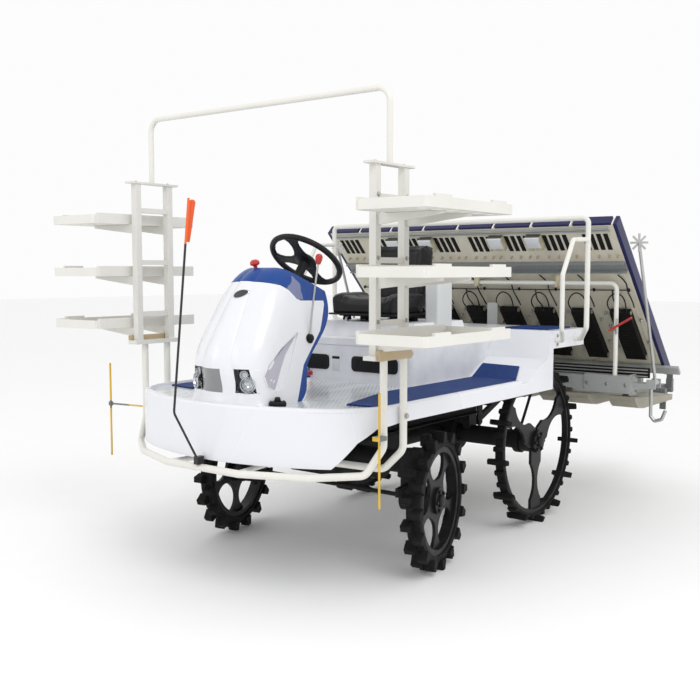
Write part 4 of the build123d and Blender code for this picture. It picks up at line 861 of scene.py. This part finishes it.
def make_lens():
    """The nose's band: clear at the lamps, grey glass between, on the near side a white column of painted
    reflection, white past them.
    """
    shape = node_shape("headlamp_band")
    ends = [(at(0, side * LAMP_END[0], LAMP_END[1]), Vector((0, side, LAMP_END[2])).normalized())
            for side in SIDES]
    for place, across in [(at(0, y, 0), Vector((0, 1, 0))) for y in LAMP_SPLITS] + ends:
        cut(shape, place, across)
    clear, grey, white = range(3)
    inner = []
    for face in shape.faces:
        centre = face.calc_center_median()
        y = centre.y * 1000
        if max((centre - place).dot(across) for place, across in ends) > 0:
            face.material_index = white
        elif abs(face.normal.z) > 0.97 or centre.x < at(LAMP_BACK_X, 0, 0).x:
            inner.append(face)
        # on the near side a white column: a painted reflection of the sky on the grey glass
        elif LAMP_SPLITS[1] < y < LAMP_SPLITS[2]:
            face.material_index = white
        else:
            face.material_index = grey if LAMP_SPLITS[0] < y < LAMP_SPLITS[1] else clear
    bmesh.ops.delete(shape, geom=inner, context="FACES")
    lens = as_mesh(shape)
    for paint in ("lens", "lamp_grey", "white"):
        lens.materials.append(PAINTS[paint])
    lens.shade_smooth()
    cover = ride(linked("lamp_lens", lens))
    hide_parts("headlamp_band")


def make_lamps():
    """The lens with bowls, bulbs and fluted housings behind it."""
    make_lens()
    bowl, small, bulb = lathe(BOWL, 40), lathe(SMALL_BOWL, 32), lathe(BULB, 20)
    flute = rounded_block((5, 7, 80), 2)
    wall = rounded_block((10, 96, 94), 3)
    bowls, bulbs, backs = [], [], []
    for side in SIDES:
        aim = Vector((LAMP_AIM[0], side * LAMP_AIM[1], LAMP_AIM[2]))
        here = spot(LAMP_AT[0], side * LAMP_AT[1], LAMP_AT[2]) @ Matrix.Rotation(side * LAMP_TURN, 4, "Z")
        for rise, slide, form in ((-16, 2, bowl), (28, 26, small), (26, -18, small), (-34, 34, small)):
            place = facing(here @ (Vector((4, slide, rise)) / 1000), aim)
            bowls.append((form, place))
            bulbs.append((bulb, place))
        backs.append((wall, here @ shift(-14, 0, 0)))
        backs += [(flute, here @ shift(-6, FLUTE_PITCH * (k + 0.5 - FLUTES / 2), 0)) for k in range(FLUTES)]
    put("lamp_reflectors", bowls, "chrome", "lamp")
    put("lamp_bulbs", bulbs, "bulb", "lamp")
    put("lamp_housings", backs, "lamp_back", "lamp")


def cast_plate(outline, aim, nodes, rise, rings=4):
    """A plate over an outline seen along an axis, laid on the surface of nodes and standing out of it."""
    targets = [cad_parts[node] for node in nodes]
    middle = sum((Vector(point) for point in outline), Vector((0, 0))) / len(outline)
    shape = bmesh.new()

    def laid(point):
        start = at(3000, point.x, point.y) if aim.x else at(point.x, -aim.y * 1500, point.y)
        hits = [hit for hit in (target.ray_cast(start, aim) for target in targets) if hit[0]]
        _, place, normal, _ = min(hits, key=lambda hit: (hit[1] - start).length)
        return shape.verts.new(place + normal * rise / 1000)

    hub = laid(middle)
    rows = [[laid(middle.lerp(Vector(point), step / rings)) for point in outline]
            for step in range(1, rings + 1)]
    rows.append([shape.verts.new(vert.co + aim * (rise + 1.5) / 1000) for vert in rows[-1]])
    for k in range(len(outline)):
        shape.faces.new((hub, rows[0][k], rows[0][(k + 1) % len(outline)]))
    return skin(shape, rows, caps=False)


def make_badge():
    """The blank oval badge: a bright rim with a dark face standing out of it."""
    y, z, half, tall = BADGE
    rim = []
    for turn in (2 * pi * k / 40 for k in range(40)):
        rim.append((y + half * cos(turn), z + tall * sin(turn) + BADGE_SLANT * half * cos(turn)))
    face = [(y + 0.9 * (a - y), z + 0.86 * (b - z)) for a, b in rim]
    back = Vector((-1, 0, 0))
    put("nose_badge_rim", cast_plate(rim, back, ("bonnet",), 2.0), "chrome", "black_plastic")
    put("nose_badge", cast_plate(face, back, ("bonnet",), 3.2), "lamp_back", "black_plastic")


def make_flank_plates():
    """A plate of painted shade, lavender grey, in the recess of each flank of the cowl, and the pale facet of
    the dash.
    """
    for side, word in ((1, "left"), (-1, "right")):
        aim = Vector((0, -side, 0))
        # the recess's lavender grey plate is painted shade
        put(f"flank_recess_shade_{word}", cast_plate(RECESS, aim, ("bonnet",), 0.8), "recess", "body_white")
        facet = cast_plate(FACET, aim, ("bonnet", "dash_panel"), 1.0, 8)
        put(f"dash_facet_{word}", facet, "facet", "trim_blue")


def make_dash():
    """The dash, cut down to the slope that carries the column."""
    front, rear = (at(x, 0, z) for x, z in DASH_SLOPE)
    slope = rear - front
    shape = node_shape("dash_panel")
    rim = cut(shape, front, Vector((slope.z, 0, -slope.x)).normalized(), clear_outer=True)["geom_cut"]
    bmesh.ops.triangle_fill(shape, edges=[item for item in rim if isinstance(item, bmesh.types.BMEdge)],
                            use_beauty=True)
    bmesh.ops.recalc_face_normals(shape, faces=shape.faces)
    panel = put("dash_moulded", as_mesh(shape), "blue", "trim_blue")
    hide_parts("dash_panel")


# Tray. Places on it are how far down the slope, where across it and how far out of its floor.

SLOT_STEPS = (62, 104, 146, 188)
BELT_STEPS = (72, 177)
BELT_ALONG = 880
BELT_BAR_START = 675
BELT_BAR_PITCH = 21.5
RIB_STEPS = (40, 125, 209)
RIB_ALONG = (240, 390, 540)
CLIP_WALLS = (2, 3, 5, 6)
PIN_STEPS = (48, 110, 172, 222)
PIN_ALONG = 228
SPRINGS = ((700, 20), (760, 226), (820, 18), (960, 226), (1010, 22))
PIN = ((0, 0), (5, 0), (5, 12), (8, 14), (8, 18), (0, 19))
SPRING = ((0, 0), (9, 0), (9, 4), (6, 6), (9, 8), (6, 10), (9, 12), (6, 14), (9, 16), (6, 20), (0, 20))
SCREW = ((0, 0), (5, 0), (5, 2), (3, 3.5), (0, 4))


def under_tray(along, y, out=0):
    """The matrix that stands a form on the tray's underside."""
    return facing(on_tray(along, y, out), on_tray(along, y, -1) - on_tray(along, y, 0))


def make_tray_details():
    """Black inserts of painted shade in the slots, belts and ribs of the lanes, and the clips, pins, springs
    and rails under them.
    """
    # black inserts that paint the shade in the slot openings
    shade_insert = rounded_block((122, 27, 7), 1)
    slots = [(shade_insert, tray_spot(123, lane(k, step), 1.2)) for k in range(ROWS) for step in SLOT_STEPS]
    put("tray_slot_shade_inserts", slots, "belt", "black_plastic", "tray")
    belt = rounded_block((430, 44, 6), 2)
    bar = rounded_block((6, 44, 5), 1.5)
    belts = []
    for y in (lane(k, step) for k in range(ROWS) for step in BELT_STEPS):
        belts.append((belt, tray_spot(BELT_ALONG, y, 12)))
        belts += [(bar, tray_spot(BELT_BAR_START + BELT_BAR_PITCH * j, y, 16)) for j in range(20)]
    put("tray_lane_belts", belts, "belt", "black_plastic", "tray")
    rib = rounded_block((8, 3, 12), 1)
    rib.transform(Matrix.Diagonal((14, 1, 1, 1)))
    ribs = [(rib, tray_spot(along, lane(k, step), 13))
            for k in range(ROWS) for step in RIB_STEPS for along in RIB_ALONG]
    put("tray_lane_ribs", ribs, "ivory", "tray_ivory", "tray")
    clip = rounded_block((66, 88, 5), 2)
    lip = rounded_block((16, 96, 12), 3)
    caps = []
    for y in (lane(wall, 0) for wall in CLIP_WALLS):
        caps += [(clip, tray_spot(90, y, -43.5)), (lip, tray_spot(56, y, -38))]
    put("tray_clip_caps", caps, "panel_white", "shelf_white", "tray")
    pin, spring = lathe(PIN, 12), lathe(SPRING, 14)
    pins = [(pin, under_tray(PIN_ALONG, lane(k, step))) for k in range(ROWS) for step in PIN_STEPS]
    springs = [(spring, under_tray(along, lane(k, step))) for k in range(ROWS) for along, step in SPRINGS]
    put("tray_pins", pins, "tan", "steel", "tray")
    put("tray_springs", springs, "steel", "steel", "tray")
    rail = rounded_block((9, 1940, 9), 2)
    put("tray_eave_rails", [(rail, tray_spot(along, 0, -6)) for along in (14, 38)], "beam", "steel", "tray")


# the two ends of a belt drive down the slope, its middle below the floor and its half width
DRIVE_ALONG = (657, 1097)
DRIVE_OUT = -23
DRIVE_RADIUS = 21
DRIVE_HALF = 62
DRIVE_BARS = 17
ROUND_STEPS = 8


def make_belt_drives():
    """The belt drive under each lane: a ribbed belt round two rollers, with steel roller ends."""
    reach = (DRIVE_ALONG[1] - DRIVE_ALONG[0]) / 2 - DRIVE_RADIUS
    outline = []
    for end in (1, -1):
        for k in range(ROUND_STEPS + 1):
            angle = pi / 2 - pi * k / ROUND_STEPS
            outline.append((end * (reach + DRIVE_RADIUS * cos(angle)), end * DRIVE_RADIUS * sin(angle)))
    loop = bmesh.new()
    band = skin(loop, [[loop.verts.new((x / 1000, side * DRIVE_HALF / 1000, z / 1000)) for x, z in outline]
                       for side in SIDES])
    bar = rounded_block((6, 2 * DRIVE_HALF - 2, 4), 1.2)
    cap = lathe([(0, 0), (15, 0), (15, 3), (9, 4), (7, 5), (0, 5)], 20)
    belts, caps = [], []
    for k in range(ROWS):
        here = tray_spot(sum(DRIVE_ALONG) / 2, lane(k, ROW_PITCH / 2), DRIVE_OUT)
        belts.append((band, here))
        for j in range(DRIVE_BARS):
            belts.append((bar, here @ shift(2 * reach * j / (DRIVE_BARS - 1) - reach, 0, -21.2)))
        for end in (-1, 1):
            for side in SIDES:
                spin = turned(-side * 90, "X")
                caps.append((cap, here @ shift(end * reach, side * DRIVE_HALF, 0) @ spin))
    drives = put("feed_belt_drives", belts, "belt", "black_plastic", "tray")
    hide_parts("feed_belts")
    put("feed_roller_ends", caps, "steel", "steel", "tray")


# a lane's cables, Y from the lane's middle; the last one is on every second lane
CABLES = (
    ((672, -40, -40), (600, -62, -52), (530, -30, -38), (505, 20, -22), (560, 66, -30), (660, 44, -42)),
    ((640, 90, -16), (560, 112, -46), (500, 84, -20), (430, 96, -10), (372, 60, -14)),
    ((505, -8, -14), (560, -20, -30), (612, 4, -34), (668, 12, -42)),
)
WIRE_ALONG = 503


def make_tray_cables():
    """The looping cables between the belt drives and the wire that holds them, under the tray."""
    runs = []
    for k in range(ROWS):
        for cable in CABLES if k % 2 else CABLES[:2]:
            runs.append([on_tray(along, lane(k, ROW_PITCH / 2) + y, out) for along, y, out in cable])
    tubes("tray_cables", runs, 4.0, "black", "tray")
    wire = ((30 - TRAY_HALF, -8), (-TRAY_HALF / 3, -12), (TRAY_HALF / 3, -12), (TRAY_HALF - 30, -8))
    wire = [on_tray(WIRE_ALONG, y, out) for y, out in wire]
    tubes("tray_wire", [wire], 3.0, "black", "tray")
    clip = rounded_block((18, 12, 16), 3)
    inner = TRAY_HALF - 34
    clips = [(clip, tray_spot(WIRE_ALONG, min(max(lane(k, 0), -inner), inner), -7)) for k in range(ROWS + 1)]
    put("tray_wire_clips", clips, "black", "black_plastic", "tray")
    screw = lathe(SCREW, 12)
    heads = [(screw, under_tray(99, lane(wall, step), -42)) for wall in CLIP_WALLS for step in (-30, 30)]
    put("tray_clip_screws", heads, "zinc", "steel", "tray")


# Wheels

# wheel, the outer face of its hub and the number of its nuts
HUBS = (("front", (0, 646, 325), 5), ("rear", (REAR_AXLE[0], 616, REAR_AXLE[2]), 6))
NUT_CIRCLE_R = 46
REAR_PADDLES = 13
# how far between two paddles the small cleats stand, as shares of their pitch
CLEAT_LEADS = (0.32, 0.68)
CLEAT_R = 416


def steer_rest(side):
    """The turn of a parked front wheel about its king pin."""
    pin = at(0, side * KING_PIN_Y, 0)
    return Matrix.Translation(pin) @ turned(REST_STEER, "Z") @ Matrix.Translation(-pin)


def make_wheel_details():
    """Hub caps and nuts, and the small cleats between the rear wheels' paddles."""
    nut = hex_bolt(17, 9)
    cap = lathe([(0, 0), (30, 0), (30, 10), (24, 17), (10, 20), (0, 20)], 28)
    cleat = rounded_block((30, 62, 26), 9, 3)
    for side, word in ((1, "left"), (-1, "right")):
        out = Vector((0, side, 0))
        for wheel, (x, y, z), nuts in HUBS:
            rest = steer_rest(side) if wheel == "front" else Matrix()
            items = [(cap, rest @ facing(at(x, side * y, z), out))]
            for turn in (2 * pi * k / nuts for k in range(nuts)):
                place = at(x + NUT_CIRCLE_R * cos(turn), side * y, z + NUT_CIRCLE_R * sin(turn))
                items.append((nut, rest @ facing(place, out)))
            put(f"{wheel}_hub_{word}", items, "black", "rim_grey", f"{wheel}_wheel_{word}")
        middle = spot(REAR_AXLE[0], side * REAR_AXLE[1], REAR_AXLE[2])
        shares = [(k + 0.5 + lead) / REAR_PADDLES for k in range(REAR_PADDLES) for lead in CLEAT_LEADS]
        cleats = [(cleat, middle @ turned(360 * share, "Y") @ shift(0, 0, CLEAT_R)) for share in shares]
        put(f"rear_cleats_{word}", cleats, "tyre", "tyre", f"rear_wheel_{word}")


# Bolts and small fittings

# place, direction and width of each bolt
CHASSIS_BOLTS = (
    [((x, side * 735, z), (0, side, 0), 13) for side in SIDES for x in (392, 593) for z in (1184, 1440, 1690)]
    + [((x, side * 748, 1042), (0, side, 0), 13) for side in SIDES for x in (372, 430, 560, 612)]
    + [((x, side * 718, 1820), (0, 0, 1), 11) for side in SIDES for x in (392, 593)]
    + [((402, side * 744, 784), (0, side, 0), 17) for side in SIDES]
    + [((-1330, side * 746, 1012), (0, side, 0), 13) for side in SIDES]
    + [((-1115, side * 706, z), (0, side, 0), 13) for side in SIDES for z in (990, 1038)]
)
UNIT_BOLTS = (
    [((-1649, side * y, 730), (1, 0, 0), 13) for side in SIDES for y in (650, 770, 885)]
    + [((x, side * 917, z), (0, side, 0), 13) for side in SIDES for x in (-1734, -1666) for z in (688, 772)]
    + [((-1660, y, z), (1, 0, 0), 13) for y in (-130, 130) for z in (790, 880)]
)
# name, size, round edge, place of the middle, material, slot, and the body if it isn't the chassis
BLOCKS = (
    ("seat_base_shell", (300, 428, 10), 4, (-420, 0, 1164), "black", "black_plastic", "seat"),
    ("blank_plate", (3, 48, 74), 1.2, (-251, -148, 903), "panel_white", "deck_grey"),
    ("blank_plate_strip", (4, 48, 14), 1.2, (-251, -148, 934), "black", "black_plastic"),
    ("seat_box_seam", (2, 600, 3), 0.8, (-251.5, 0, 1001), "recess", "body_white"),
    ("unit_lever_stay", (16, 10, 90), 3, (-1655, 822, 1068), "steel", "steel", "planting_unit"),
    # a black sheet of painted shade behind the beam, standing for the dark seen through between the rails
    ("beam_shade_sheet", (5, 1990, 60), 2, (-1742, 0, 798), "black", "black_plastic", "planting_unit"),
)
# name, radius and height pairs, steps round, place of the foot, direction, material, slot
ROUND_PIECES = (
    ("lever_boot", ((0, 0), (24, 0), (25, 3), (19, 6), (20, 9), (15, 12), (16, 15), (9, 20), (0, 20)), 24,
     (386, 203, 1086), (0, 1, 0.25), "black", "black_plastic"),
    ("drain_knob", ((0, 0), (13, 0), (13, 10), (9, 14), (0, 14)), 24,
     (-252, -320, 842), (1, 0, 0), "red", "black_plastic"),
    ("choke_knob", ((0, 0), (7, 0), (7, 8), (13, 12), (14, 20), (9, 25), (0, 26)), 24,
     (286, 100, 1107), (-1, 0, 0.1), "black", "black_plastic"),
    ("pole_tip", ((0, 0), (5, 0), (7, 6), (13, 150), (14, 170), (9, 178), (0, 180)), 20,
     (908, -18, 1508), (-27.5, 0, 180), "orange", "pole_orange"),
)
# the edges of the two vents in Y, their height, corner and thickness, and the pitch of their grooves
VENTS = ((-350, -193), (-43, 249))
VENT_FORM = (80, 24, 6)
VENT_AT = (-252, 908)
GROOVE_PITCH = 14
GROOVE_START = 26
FRONTWARD = Matrix(((0, 0, 1, 0), (1, 0, 0, 0), (0, 1, 0, 0), (0, 0, 0, 1)))
# the stays under the deck: X, Y on the left side, and Z
BRACES = (((-958, 500, 750), (-1000, 490, 640), (-1040, 470, 500)),
          ((-1240, 560, 960), (-1200, 520, 720), (-1150, 470, 500)))
UNIT_LEVER = ((-1650, 776, 1040), (-1650, 850, 1085), (-1650, 912, 1122))
ROD_LEVELS = (778, 797, 815)


def make_bolts():
    """The bolts that show, in zinc."""
    for name, rows, body in (("chassis_bolts", CHASSIS_BOLTS, "chassis"),
                             ("unit_bolts", UNIT_BOLTS, "planting_unit")):
        items = [(hex_bolt(width, width * 0.5), facing(at(*place), aim)) for place, aim, width in rows]
        put(name, items, "zinc", "steel", body)


def make_vents():
    """Rounded black covers with upright grooves, on the front of the seat box."""
    vents = []
    groove = rounded_block((3, 3, 62), 1)
    x, z = VENT_AT
    for low, high in VENTS:
        vents.append((rounded_plate(high - low, *VENT_FORM), spot(x, (low + high) / 2, z) @ FRONTWARD))
        for k in range(int((high - low) / GROOVE_PITCH) - 2):
            vents.append((groove, spot(x + 6.5, low + GROOVE_START + GROOVE_PITCH * k, z)))
    put("vent_covers", vents, "black", "black_plastic")


def make_fittings():
    """Plates and knobs, clamps of the racks, braces under the deck, lever and rods on the unit."""
    make_vents()
    for name, size, round_by, place, *looks in BLOCKS:
        put(name, [(rounded_block(size, round_by), spot(*place))], *looks)
    for name, profile, steps, place, aim, *looks in ROUND_PIECES:
        put(name, [(lathe(profile, steps), facing(at(*place), aim))], *looks)
    clamps = [(rounded_block((232, 24, 44), 4), spot(505, side * 752, 1050)) for side in SIDES]
    put("rack_clamps", clamps, "tan", "tube_white")
    braces = [[at(x, side * y, z) for x, y, z in brace] for side in SIDES for brace in BRACES]
    tubes("deck_braces", braces, 8, "under")
    tubes("unit_lever", [[at(*place) for place in UNIT_LEVER]], 7, "red", "planting_unit")
    rods = [[at(-1730, y, z) for y in (-985, 0, 985)] for z in ROD_LEVELS]
    tubes("beam_rods", rods, 4, "steel", "planting_unit")


# The scene

bpy.context.scene.view_settings.view_transform = "Standard"
make_camera()
make_stage()
PAINTS = make_materials()
dress_nodes()
make_steering_wheel()
make_levers()
make_seat()
make_lamps()
make_badge()
make_flank_plates()
make_dash()
make_tray_details()
make_belt_drives()
make_tray_cables()
make_wheel_details()
make_bolts()
make_fittings()
